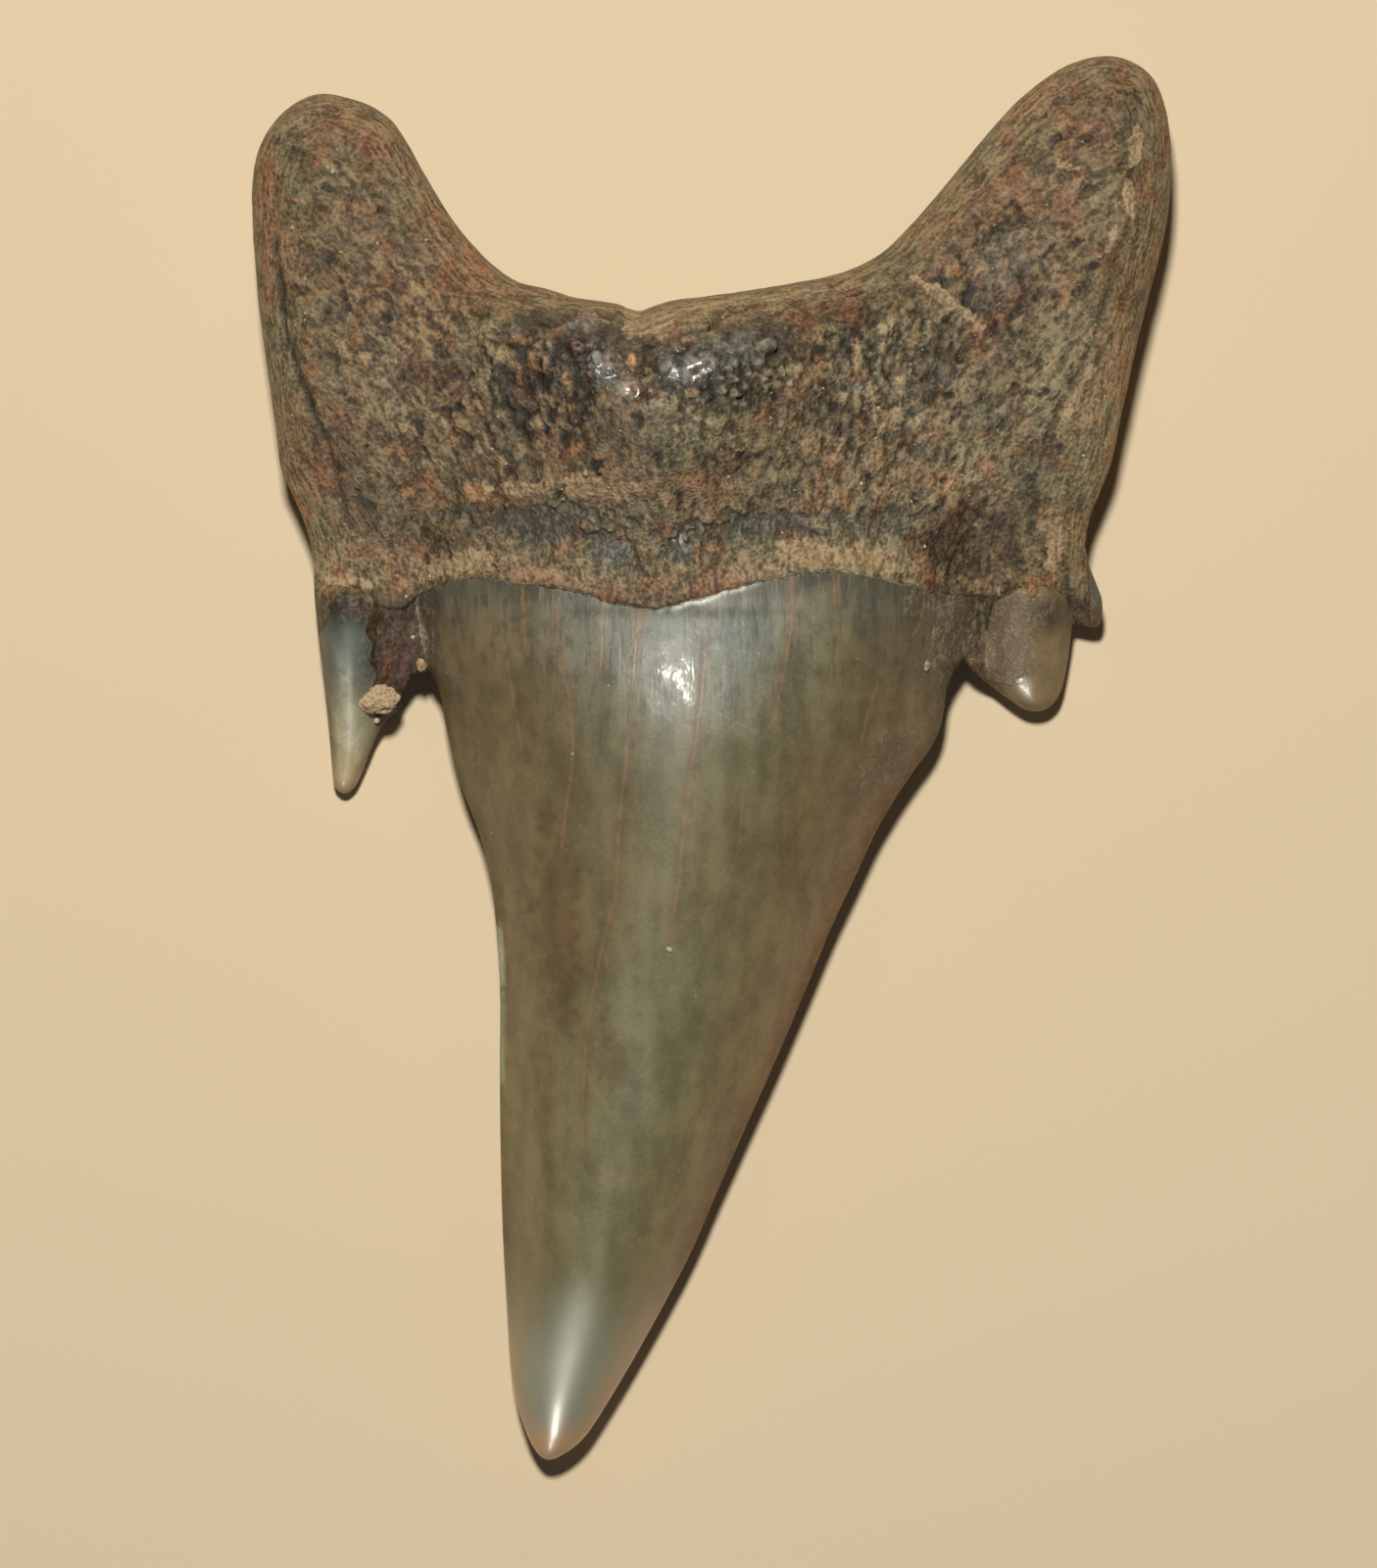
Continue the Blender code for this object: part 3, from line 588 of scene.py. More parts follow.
def lattice(loop, spacing, clear, keep=None):
    """An even triangular lattice inside the outline, in the places that keep picks."""
    low, high = loop.min(axis=0), loop.max(axis=0)
    points = []
    for i, y in enumerate(np.arange(low[1], high[1], spacing * np.sqrt(0.75))):
        x = np.arange(low[0] + spacing * 0.5 * (i % 2), high[0], spacing)
        points.append(np.column_stack([x, np.full_like(x, y)]))
    points = np.vstack(points)
    if keep is not None:
        points = points[keep(points)]
    points = points[inside(loop, *points.T)]
    return points[distance_to(loop, *points.T) > clear + LATTICE_CLEARANCE * spacing]


def triangulated(loop, points):
    """Points and triangles seen from above, and each point's place in the outline, or -1."""
    given = np.vstack([loop, points])
    border = list(range(len(loop)))
    flat, _, triangles, came_from, *_ = delaunay_2d_cdt([Vector(p) for p in given], [], [border], 1, 1e-6)
    on_loop = np.array([min((g for g in gs if g < len(loop)), default=-1) for gs in came_from])
    return np.array(flat), np.array(triangles), on_loop


def one_face(points, surface, start):
    """One face of the tooth. Its own points are numbered from start, and the outline's from 0."""
    flat, triangles, number = triangulated(margin_loop, points)
    own = number < 0
    number[own] = start + np.arange(own.sum())
    x, y = flat[own].T
    z = surface(x, y, margin_height(x, y), distance_to(margin_loop, x, y))
    return np.column_stack([x, y, z]), number[triangles]


over_points = [
    inset_rows(margin_loop, OVER_INSETS),
    lattice(margin_loop, ROOT_LATTICE, OVER_INSETS[-1], is_fine),
    lattice(margin_loop, CROWN_LATTICE, OVER_INSETS[-1], lambda points: ~is_fine(points)),
    rows_along([p for p in NECK if NECK_ROWS_X[0] < p[0] < NECK_ROWS_X[1]], NECK_ROWS),
    *[rows_along(crack, CRACK_ROWS) for crack in CRACKS],
    *[rows_along(crevice, CRACK_ROWS) for crevice in CREVICES],
    *[rows_along(scratch, SCRATCH_ROWS) for scratch in SCRATCHES],
]
under_points = [
    inset_rows(margin_loop, UNDER_INSETS),
    lattice(margin_loop, UNDER_LATTICE, UNDER_INSETS[-1]),
]
rim = np.column_stack([margin_loop, margin_height(*margin_loop.T)])
over, over_triangles = one_face(np.vstack(over_points), face_up, len(rim))
under, under_triangles = one_face(np.vstack(under_points), face_down, len(rim) + len(over))
form = np.vstack([rim, over, under])
triangles = np.vstack([over_triangles, under_triangles[:, ::-1]])
is_under = np.arange(len(form)) >= len(rim) + len(over)
print("tooth:", len(form), "points,", len(triangles), "triangles")

# %% [markdown]
# ## Where the enameloid ends
# The glassy layer stops at the neck, and each cusplet has its own small cap of it. One number
# a point, the distance inside the nearest cap's edge, lets the form and the finish share the
# same edge: above 0 is enameloid, below 0 is bone.

# %% Caps of enameloid
LEFT_CAP = [(-1.2, -9.9), (0.0, -9.95), (0.8, -9.88), (1.3, -10.02), (1.75, -9.9), (2.15, -10.12),
            (2.6, -10.02), (3.0, -10.24), (3.4, -10.12), (3.8, -10.3), (4.3, -10.22), (5.0, -10.3)]
LEFT_CAP_TOP = [(-12.0, 3.6), (-11.5, 4.0), (-11.22, 4.66), (-10.92, 4.93), (-10.4, 4.85), (-9.9, 4.75),
                (-9.4, 4.7)]
RIGHT_CAP = [(1.2, 8.7), (2.2, 8.35), (3.2, 8.15), (4.2, 8.3), (5.2, 8.6)]
RIGHT_CAP_TOP = [(7.5, 4.2), (8.3, 4.6), (8.9, 4.95), (9.6, 5.15), (10.3, 5.0), (10.7, 4.6), (11.0, 4.0)]
RIGHT_CAP_END = 10.95
SECOND_CAP_TOP = 6.3
BESIDE_CROWN = 0.4
SECOND_CAP = [(3.8, 11.35), (4.6, 11.3), (5.4, 11.25), (6.4, 11.2)]
OUTER_FACE_REACH = 0.9  # the enameloid reaches further up on the outer face
EDGE_IN_ROOT_FROM_Y = (2.65, 3.0)  # left and right
NO_LIMIT = 9


def cap_distance(x, y, outer):
    """How far inside a cap of enameloid each point is. Bone is below 0."""
    reach = OUTER_FACE_REACH * outer
    crown = neck_line(x) + reach - y
    crown = np.minimum(crown, np.where(y > EDGE_IN_ROOT_FROM_Y[0], x - left_edge(y), NO_LIMIT))
    crown = np.minimum(crown, np.where(y > EDGE_IN_ROOT_FROM_Y[1], right_edge(y) - x, NO_LIMIT))
    on_crown = (x > left_edge(y) - BESIDE_CROWN) & (x < right_edge(y) + BESIDE_CROWN)
    left = np.minimum(profile(LEFT_CAP_TOP)(x) + reach - y, profile(LEFT_CAP)(y) - x)
    right = np.minimum(profile(RIGHT_CAP_TOP)(x) + reach - y, x - profile(RIGHT_CAP)(y))
    right = np.minimum(right, RIGHT_CAP_END - x)
    second = np.minimum(x - profile(SECOND_CAP)(y), SECOND_CAP_TOP - y)
    right = np.maximum(right, second)
    return np.where(on_crown, crown, np.where(x < 0, left, right))


x, y, z = form.T
enamel = cap_distance(x, y, is_under.astype(float))
print("points on enameloid:", int((enamel > 0).sum()), "and on bone:", int((enamel <= 0).sum()))

# %% [markdown]
# ## Directions of the fibres
# Bone fibres fan out from the neck into the two lobes, and run along the edge beside it. The
# surface patterns could use plain x and y, but then the fibres would cut across the lobes.
# Two sets of coordinates are made, one that fans out and one that follows the margin, and
# the patterns are blended from the two.

# %% Fibre coordinates
FAN = (0.021, 0.004)  # for each mm past the neck, and for each mm squared
FAN_FROM_Y = 5.0
RIM_BAND = (0.5, 1.5)  # the edge pattern fades out over the second distance after the first
RIM_PATTERN_FROM_Y = 4.8
RIM_PATTERN_RUN = 1.5
GIRTH_STRETCH = 1.2  # the rounded edge is higher than it is wide
HEIGHT_IN_FLOW = 0.6

rim_distance = distance_to(margin_loop, x, y)
girth = GIRTH_STRETCH * ROOT_ROUNDING * np.arccos(1 - np.clip(rim_distance / ROOT_ROUNDING, 0, 1))
girth = girth * np.where(is_under, -1, 1)
arc = nearest_on(margin_loop, x, y) * MARGIN_STEP
past_neck = np.maximum(y - FAN_FROM_Y, 0)
fan_x = x / (1 + FAN[0] * past_neck + FAN[1] * past_neck**2)
fan_flow = np.column_stack([fan_x, y, HEIGHT_IN_FLOW * z * np.where(is_under, -1, 1)])
rim_flow = np.column_stack([girth, arc, 0 * x])
rim_share = 1 - smooth_step((rim_distance - RIM_BAND[0]) / RIM_BAND[1])
rim_share = rim_share * smooth_step((y - RIM_PATTERN_FROM_Y) / RIM_PATTERN_RUN)
print("share of points that follow the edge:", round(float((rim_share > 0.5).mean()), 2))

# %% Random patterns
LINE_STEP = 0.02
PATCH_REACH = 1.3  # where a patch ends, in half lengths from its middle
PATCH_FADE = 0.6
CELL_NUMBER_MIX = np.array([12.9898, 78.233, 37.719])  # turns a cell's middle into a number
CELL_NUMBER_SPREAD = 43758.5453  # leaves nothing but chance in that number's decimals


def noisy(places, sizes, shift=0.0):
    """Random waves between about -1 and 1, with a wave length in mm for each coordinate."""
    scaled = places / np.array(sizes) + shift
    return NOISE_TO_ONE * np.array([noise.noise(p) for p in scaled.tolist()])


def cells(places, sizes, shift=0.0):
    """Random cells: distance to the middle and to the border in cell sizes, and a number for each cell."""
    found = [noise.voronoi(p) for p in (places / np.array(sizes) + shift).tolist()]
    nearest, second = np.array([f[0][:2] for f in found]).T
    middles = np.array([tuple(f[1][0]) for f in found])
    number = np.sin(middles @ CELL_NUMBER_MIX) * CELL_NUMBER_SPREAD
    return nearest, second - nearest, number - np.floor(number)


def patches(table, ragged):
    """Ellipses with ragged edges: middle x and y, half length, half width, turn in degrees, strength."""
    strength = np.zeros_like(x)
    for patch_x, patch_y, length, width, turn, most in table:
        c, s = np.cos(np.radians(turn)), np.sin(np.radians(turn))
        u = ((x - patch_x) * c + (y - patch_y) * s) / length
        v = ((y - patch_y) * c - (x - patch_x) * s) / width
        covered = smooth_step((PATCH_REACH - np.hypot(u, v) - ragged) / PATCH_FADE)
        strength = np.maximum(strength, most * covered)
    return strength


def distance_to_lines(tables):
    """How far each point is from the nearest of several open lines."""
    line = np.vstack([evenly(catmull_rom(table), LINE_STEP) for table in tables])
    return nearest_on(line, x, y, what=2)


# %% [markdown]
# ## Relief of the bone
# The old root is worn: fibres stand up as fine ridges, the softer bone between them has gone
# as pits, and over the bulge it is knobbly and black. Films of fine sediment lie on it. All
# of it is real relief, a few hundredths of a millimetre, pushed along the surface's normals.
# The finest grain is left to the material.

# %% Patches on the root
SEDIMENT = [
    (-3.4, 7.93, 1.15, 0.34, -5, 1.0), (-5.4, 7.95, 1.3, 0.22, 2, 0.6), (-7.3, 5.78, 1.3, 0.34, 8, 0.8),
    (-8.5, 5.6, 0.5, 0.3, 0, 0.6), (3.0, 6.05, 1.1, 0.32, -3, 1.0), (4.7, 5.85, 1.4, 0.36, -8, 0.75),
    (6.85, 13.55, 1.2, 0.22, -36, 0.9), (12.55, 18.2, 0.22, 0.7, -4, 0.8), (12.35, 16.6, 0.2, 0.6, 4, 0.8),
    (11.8, 15.3, 0.12, 0.5, -20, 0.6), (10.5, 17.55, 0.42, 0.14, -18, 0.75),
    (10.8, 10.76, 1.0, 0.14, 59, 0.8), (11.1, 12.3, 0.12, 0.5, -22, 0.5), (5.2, 10.0, 0.45, 0.4, 0, 0.55),
    (-1.85, 12.72, 0.7, 0.34, 18, 1.0), (-2.3, 13.1, 0.25, 0.3, 0, 1.0), (-0.9, 13.15, 0.5, 0.1, 12, 0.6),
    (10.15, 6.5, 0.32, 1.1, 8, 0.72), (-10.5, 5.25, 0.9, 0.16, -5, 0.6), (4.3, 11.9, 0.25, 0.5, 20, 0.45),
    (2.3, 13.45, 0.55, 0.08, 8, 0.5), (-11.3, 17.4, 0.22, 0.14, 0, 0.7), (-9.6, 11.4, 0.5, 0.16, 50, 0.3),
    (5.8, 10.2, 0.2, 0.5, -20, 0.3), (7.9, 7.0, 0.3, 0.12, 20, 0.4),
]
ORANGE = [
    (-2.35, 11.5, 0.11, 0.2, 0, 1.0), (-6.97, 7.85, 0.36, 0.26, 0, 0.85), (-9.0, 7.95, 0.16, 0.2, 0, 0.7),
    (-6.1, 8.6, 0.5, 0.14, -20, 0.5), (9.55, 5.25, 0.3, 0.16, 0, 0.7), (3.0, 8.0, 0.3, 0.3, 0, 0.4),
    (1.3, 8.5, 0.25, 0.2, 0, 0.4), (5.0, 9.0, 0.4, 0.2, 0, 0.35), (-1.6, 12.6, 0.5, 0.14, 20, 0.6),
]
BLACK = [
    (-3.1, 11.8, 1.5, 1.0, 10, 0.85), (-0.6, 11.35, 1.5, 0.75, 8, 1.0), (1.5, 12.1, 1.3, 0.8, 8, 0.85),
    (-5.2, 12.75, 1.0, 0.35, 20, 0.8), (0.8, 10.5, 1.4, 0.5, 0, 0.8), (-2.9, 9.7, 1.9, 0.9, 0, 0.6),
    (8.8, 13.7, 1.3, 0.6, 40, 0.55), (4.7, 11.4, 0.8, 0.25, -60, 0.6), (-5.6, 10.6, 1.2, 0.7, 0, 0.4),
    (9.05, 4.95, 0.25, 0.18, 0, 0.9), (12.2, 19.0, 0.5, 0.25, -50, 0.5), (-8.6, 6.6, 1.6, 0.25, 0, 0.35),
    (3.9, 12.3, 0.7, 0.2, 50, 0.5), (0.3, 8.7, 2.2, 0.4, 0, 0.35), (7.6, 6.4, 1.8, 1.1, 0, 0.75),
    (-8.6, 11.3, 1.6, 0.5, 20, 0.3), (-10.4, 8.2, 0.5, 1.4, 15, 0.3), (4.0, 13.4, 1.2, 0.3, 20, 0.4),
    (3.3, 10.2, 1.1, 0.45, -30, 0.7), (6.6, 11.6, 0.5, 1.3, -20, 0.75), (5.6, 9.3, 1.4, 0.35, -15, 0.5),
    (8.4, 11.2, 0.5, 1.6, -15, 0.5), (9.6, 8.6, 0.6, 1.2, -10, 0.45),
]
RED = [
    (-7.6, 14.6, 2.0, 0.8, -50, 0.6), (-4.4, 9.1, 1.4, 0.5, -10, 0.55), (-1.2, 7.9, 1.8, 0.4, -5, 0.8),
    (5.0, 8.4, 1.6, 0.7, 0, 0.5), (-10.8, 15.2, 1.8, 1.2, 50, 0.55), (-9.6, 9.4, 1.6, 0.6, 20, 0.4),
    (8.0, 16.2, 1.6, 0.6, 45, 0.6), (11.2, 19.4, 1.4, 0.9, 0, 0.5), (-12.4, 9.0, 0.5, 1.4, 0, 0.4),
    (-7.9, 7.8, 1.2, 0.4, 0, 0.5), (12.4, 13.2, 0.4, 2.2, -8, 0.5), (-10.4, 13.5, 1.0, 0.9, 0, 0.35),
    (7.0, 10.6, 0.7, 0.4, 0, 0.5), (-6.4, 13.9, 1.1, 0.3, -28, 0.5), (2.2, 7.4, 1.2, 0.25, 0, 0.5),
]
PALE = [
    (-9.6, 12.2, 1.3, 0.6, -10, 0.5), (-8.7, 9.6, 1.6, 1.0, 0, 0.45), (-10.6, 15.6, 0.9, 0.5, 0, 0.45),
    (5.2, 11.6, 1.1, 1.0, 20, 0.7), (4.4, 9.6, 1.6, 0.9, 0, 0.4), (9.9, 14.9, 0.4, 1.8, 10, 0.35),
    (-7.0, 12.4, 0.8, 0.5, 30, 0.45), (-1.4, 9.9, 1.4, 0.5, -10, 0.4), (1.65, 12.05, 0.3, 0.2, 0, 0.8),
    (-10.2, 6.0, 1.6, 0.9, 0, 0.3), (7.3, 8.2, 1.2, 0.8, 0, 0.4), (10.8, 17.0, 1.2, 0.6, 0, 0.35),
    (1.2, 13.5, 2.6, 0.14, 8, 0.6), (6.3, 12.2, 0.7, 0.5, -30, 0.5),
]
SMOOTH_DARK = [
    (-5.0, 6.9, 2.4, 0.6, -6, 1.0), (-3.1, 6.3, 1.1, 0.45, -35, 1.0), (-0.9, 6.1, 0.7, 0.4, 0, 0.8),
    (1.4, 6.75, 2.0, 0.4, 4, 1.0), (4.7, 6.95, 1.7, 0.42, 3, 0.75),
]
KNOBBLY = [
    (-4.8, 11.0, 2.8, 1.6, 15, 1.0), (-0.2, 11.3, 2.8, 1.1, 0, 1.0), (5.2, 11.5, 2.2, 2.6, 0, 0.8),
    (8.2, 14.0, 1.8, 2.4, -30, 0.75), (-9.0, 12.5, 2.2, 2.6, 30, 0.6), (-7.2, 9.2, 2.6, 1.5, 0, 0.55),
    (2.5, 8.8, 3.2, 1.2, 0, 0.45), (-11.3, 16.5, 1.6, 2.0, 0, 0.35), (10.6, 18.0, 2.0, 1.4, 0, 0.4),
]
BUBBLY = [(0.5, 10.9, 2.5, 1.6, 0, 1.0), (-3.4, 11.6, 1.2, 1.1, 0, 0.8)]
GLOSSY = [
    (-0.7, 11.35, 0.75, 0.45, 10, 1.1), (-3.1, 11.5, 0.35, 0.6, 10, 1.0), (-2.45, 10.8, 0.4, 0.3, 0, 1.0),
    (0.6, 11.9, 1.2, 0.6, 10, 0.5), (-2.9, 6.1, 0.5, 0.4, -30, 0.5), (-0.9, 6.3, 0.4, 0.25, 0, 0.7),
    (-3.8, 12.7, 0.5, 0.3, 0, 0.5), (4.3, 11.0, 0.4, 0.3, 0, 0.5), (-5.7, 12.6, 0.4, 0.3, 0, 0.5),
    (8.6, 14.6, 1.4, 0.8, 40, 0.3), (12.2, 19.0, 0.5, 0.3, -50, 0.4),
]
NODULES = [  # x, y, radius, rise, depth of the ring round it
    (-3.36, 11.7, 0.26, 0.14, 0.05), (-3.0, 11.35, 0.24, 0.1, 0.05), (-2.46, 10.74, 0.34, 0.14, 0.06),
    (-1.35, 11.35, 0.42, 0.07, 0.0), (-0.72, 11.42, 0.4, 0.09, 0.0), (-0.25, 11.6, 0.3, 0.07, 0.0),
    (-0.1, 11.1, 0.3, 0.06, 0.0), (-0.07, 10.46, 0.22, 0.09, 0.08), (0.35, 10.63, 0.17, 0.07, 0.08),
    (0.79, 10.63, 0.2, 0.1, 0.1), (1.67, 12.05, 0.34, 0.16, 0.12), (0.12, 9.67, 0.34, 0.07, 0.04),
    (-4.1, 12.1, 0.3, 0.1, 0.08), (-3.8, 12.7, 0.3, 0.1, 0.06), (-2.9, 12.4, 0.3, 0.12, 0.05),
    (2.6, 11.4, 0.25, 0.07, 0.07), (4.35, 10.9, 0.16, 0.08, 0.1), (-4.9, 11.4, 0.25, 0.06, 0.07),
]
ragged = 0.3 * noisy(form, (0.55, 0.55, 0.55), 3.1) + 0.3 * noisy(form, (0.2, 0.2, 0.2), 7.7)
sediment = patches(SEDIMENT, ragged)
black = patches(BLACK, 1.4 * ragged)
orange = patches(ORANGE, 1.2 * ragged)
red = patches(RED, 1.6 * ragged)
pale = patches(PALE, 1.6 * ragged)
smooth_dark = patches(SMOOTH_DARK, 1.3 * ragged)
knobbly = np.maximum(patches(KNOBBLY, ragged), 0.22) * (1 - 0.75 * smooth_dark)
bubbly = patches(BUBBLY, ragged)
glossy = np.minimum(patches(GLOSSY, ragged), 1)

# %% Fibres, knobs, gaps and pits
FIBRE_SIZE = (0.26, 1.0, 0.5)
RIM_FIBRE_SIZE = (0.24, 1.7, 1.0)
KNOB_SIZE = (0.3, 1.0, 0.5)
KNOB_WARP = 0.4
BUBBLE_SIZE = 0.3
GAP_WIDTH = 0.3  # in cells
PIT_WARP = 0.3
PIT_RADIUS = (0.22, 0.36)  # in cells: the least, and what a large pit adds
CELLS_WITHOUT_PIT = 0.55
PITS_FROM_Y = 5.8
PITS_UP_TO = ([6, 12, 18], [9.4, 11.0, 12.4])  # y, and the x where the smooth right side starts


def clouded(sizes, shift, small_sizes, small_shift, share=0.5):
    """Random waves over the tooth with a share of smaller ones on them."""
    return noisy(form, sizes, shift) + share * noisy(form, small_sizes, small_shift)


def pit_places():
    """Fibre coordinates in which pits are long beside the neck and rounder on the lobes."""
    long_to_round = np.interp(y, [0, 10, 15, 21], [0, 17, 29, 46])
    warp = [PIT_WARP * noisy(form, (0.22, 0.3, 0.3), shift) for shift in (12.1, 15.7)]
    return np.column_stack([fan_flow[:, 0] / 0.33 + warp[0], long_to_round + warp[1], 0 * x])


on_bone = smooth_step(-enamel / 0.12)
fibres = noisy(fan_flow, FIBRE_SIZE) * (1 - rim_share) + noisy(rim_flow, RIM_FIBRE_SIZE) * rim_share
lumps = clouded(0.9, 5.3, 0.45, 1.9, 0.6)
warp = np.column_stack([KNOB_WARP * noisy(form, 0.5, shift) for shift in (51.1, 53.9, 57.3)])
knob_near, knob_border, knob_number = cells(fan_flow / np.array(KNOB_SIZE) + warp, 1)
bubble_near, bubble_border, bubble_number = cells(form / BUBBLE_SIZE + 0.6 * warp, 1)
in_field = knobbly * (1 - 0.8 * rim_share) * (1 - 0.75 * glossy)
of_knobs = smooth_step((0.85 - knob_near) / 0.8)
of_bubbles = smooth_step((0.75 - bubble_near) / 0.75)
knobs = (of_knobs * (1 - bubbly) + of_bubbles * bubbly - 0.45) * in_field
knob_gaps = smooth_step(1 - knob_border / GAP_WIDTH)
bubble_gaps = smooth_step(1 - bubble_border / GAP_WIDTH)
# mask for the painted shade between the knobs
gap_shade = (knob_gaps * (1 - bubbly) + bubble_gaps * bubbly) * in_field
pit_near, _, pit_number = cells(pit_places(), 1)
on_smooth_side = smooth_step((x - np.interp(y, *PITS_UP_TO)) / 0.5)
pitted = smooth_step((y - PITS_FROM_Y) / 2.0) * (1 - 0.85 * on_smooth_side)
pitted = pitted * (0.55 + 0.45 * np.clip(lumps + 0.4, 0, 1))
radius = PIT_RADIUS[0] + PIT_RADIUS[1] * np.mod(pit_number * 7.3, 1)
pits = smooth_step((radius - pit_near) / 0.2) * (pit_number > CELLS_WITHOUT_PIT)
pits = pits * pitted * (1 - 0.6 * rim_share) * (1 - smooth_dark)
print("share of points in a pit:", round(float((pits > 0.5).mean()), 3))

# %% Relief
FIBRE_RISE = 0.03
RIM_FIBRE_RISE = 0.035
LUMP_RISE = 0.05
KNOB_RISE = 0.17
PIT_DEPTH = 0.11
NECK_BAND_DEPTH = 0.14
CREVICE_DEPTH = 0.2
CREVICE_LIP = 0.06
CREASE_DEPTH = 0.12
RIGHT_CREASE_SHARE = 0.45
SEDIMENT_RISE = 0.045
SEDIMENT_GRAIN = 0.025
CRACK_DEPTH = 0.003
CROWN_WAVES = 0.012
SMOOTH_FROM_Y = (-14.0, -17.0)
LEAST_AT_RIM = 0.2

crevice = distance_to_lines(CREVICES)
crease = distance_to_lines([LEFT_CREASE, RIGHT_CREASE])
crack = distance_to_lines(CRACKS)
relief = FIBRE_RISE * fibres + (RIM_FIBRE_RISE - FIBRE_RISE) * fibres * rim_share + LUMP_RISE * lumps
relief = relief * (1 - 0.6 * smooth_dark) * (1 - 0.7 * glossy) - NECK_BAND_DEPTH * smooth_dark
relief = relief + KNOB_RISE * knobs - PIT_DEPTH * pits * (1 - glossy)
for nodule_x, nodule_y, radius, rise, ring in NODULES:
    away = np.hypot(x - nodule_x, y - nodule_y)
    relief = relief + rise * smooth_step((radius - away) / radius * 1.4) - ring * hump(away, radius, 0.09)
relief = relief - CREVICE_DEPTH * hump(crevice, 0, 0.08) + CREVICE_LIP * hump(crevice, 0.24, 0.14)
crease_strength = hump(crease, 0, 0.12) * np.where(x < 0, 1.0, RIGHT_CREASE_SHARE)
relief = relief - CREASE_DEPTH * crease_strength
relief = relief * (LEAST_AT_RIM + (1 - LEAST_AT_RIM) * smooth_step(rim_distance / 0.7))
grain_relief = SEDIMENT_RISE + SEDIMENT_GRAIN * noisy(form, 0.16, 9.2)
relief = relief * (1 - 0.65 * sediment) + sediment * grain_relief
crown_waves = clouded((0.8, 2.4, 0.8), 2.2, (0.3, 0.7, 0.3), 4.4, 0.35)
crown_waves = crown_waves * smooth_step((y - SMOOTH_FROM_Y[1]) / (SMOOTH_FROM_Y[0] - SMOOTH_FROM_Y[1]))
crown_relief = CROWN_WAVES * crown_waves * smooth_step(rim_distance / 0.8)
crown_relief = crown_relief - CRACK_DEPTH * hump(crack, 0, 0.02)
pushed = relief * on_bone * (1 - 0.5 * is_under) + crown_relief * (1 - on_bone)
print("relief of the bone, mm:", round(float(relief.min()), 3), "to", round(float(relief.max()), 3))


# %% Push the relief along the normals
def normals_of(points, faces):
    """Unit normals at the points, each the mean of its triangles by area."""
    a, b, c = (points[faces[:, i]] for i in range(3))
    face_normals = np.cross(b - a, c - a)
    total = np.zeros_like(points)
    for i in range(3):
        np.add.at(total, faces[:, i], face_normals)
    return total / np.linalg.norm(total, axis=1)[:, None]


low = np.array(cad_low) / MM
high = np.array(cad_high) / MM
surface = form + normals_of(form, triangles) * pushed[:, None]
surface = np.clip(surface, low, high)
print("surface box, mm:", surface.min(axis=0).round(2), surface.max(axis=0).round(2))

# %% [markdown]
# ## Colours that change slowly
# The wide changes of colour are painted on the points: olive in the middle of the crown,
# brown at its cutting edges, grey at the tip. Some washes are painted light: sheens on the
# crown, highlights on the lip and the tip, and a right flank made lighter. A painter would work
# the same way, from broad washes to small marks. Each wash is a named colour and a mask made
# by a formula.

# %% Colours of the enameloid, in linear light
OLIVE = (0.158, 0.133, 0.066)
# sage green of the crown's middle, partly a painted sheen of the room
SAGE_AND_SHEEN = (0.168, 0.156, 0.086)
CROWN_BROWN = (0.185, 0.133, 0.062)
EDGE_RED = (0.185, 0.1, 0.048)
# slate grey near the neck, partly a painted bluish sheen round the crest
SLATE_AND_SHEEN = (0.14, 0.168, 0.146)
NECK_DARK = (0.05, 0.056, 0.046)
# grey of the tip's thick enameloid, lightened with a painted sheen
TIP_GREY_AND_SHEEN = (0.325, 0.36, 0.30)
# painted highlight streak down the middle of the tip
PAINTED_TIP_HIGHLIGHT = (0.60, 0.62, 0.53)
TIP_RIM = (0.42, 0.26, 0.145)
TIP_END = (0.54, 0.32, 0.155)
FLAKE = (0.40, 0.41, 0.30)
# painted highlight on the rounded lip of the enameloid at the neck
PAINTED_LIP_HIGHLIGHT = (0.62, 0.64, 0.58)
CRACK_STAIN = (0.16, 0.1, 0.05)
CROWN_PATCH = (0.125, 0.08, 0.036)
CUSPLET_BLACK = (0.024, 0.022, 0.016)
CUSPLET_BLUE = (0.12, 0.148, 0.135)
CUSPLET_CREAM = (0.53, 0.50, 0.33)
CUSPLET_PINK = (0.56, 0.42, 0.26)
# painted sheen and highlight on the cusplets
CUSPLET_SHEEN = (0.55, 0.56, 0.46)
CUSPLET_BROWN = (0.272, 0.203, 0.108)
SECOND_BROWN = (0.15, 0.1, 0.07)
LOW_CROWN_LIGHTER = (0.08, 0.15, 0.15)
# painted light: how much lighter the crown's right flank is made
RIGHT_FLANK_PAINTED_LIGHT = 0.16
CROWN_PATCHES = [
    (-4.7, -4.6, 0.7, 2.6, 2, 0.85), (-5.0, -10.0, 0.4, 2.4, 2, 0.5), (0.4, -8.8, 0.6, 2.0, -20, 0.35),
    (2.9, -2.6, 0.9, 1.6, -26, 0.45), (-3.0, -8.9, 0.5, 1.2, 5, 0.6), (-5.2, 1.6, 0.5, 1.6, 0, 0.3),
]
FLAKES = [(-6.3, -5.9, 0.5, 0.9, 0, 1.0), (-6.3, -8.4, 0.4, 1.4, 0, 0.45)]


def layered(colours, layers):
    """The colours with each layer, a mask and its colour, laid over the layers before it."""
    for mask, colour in layers:
        colours = colours + (np.array(colour) - colours) * np.clip(mask, 0, 1)[:, None]
    return colours


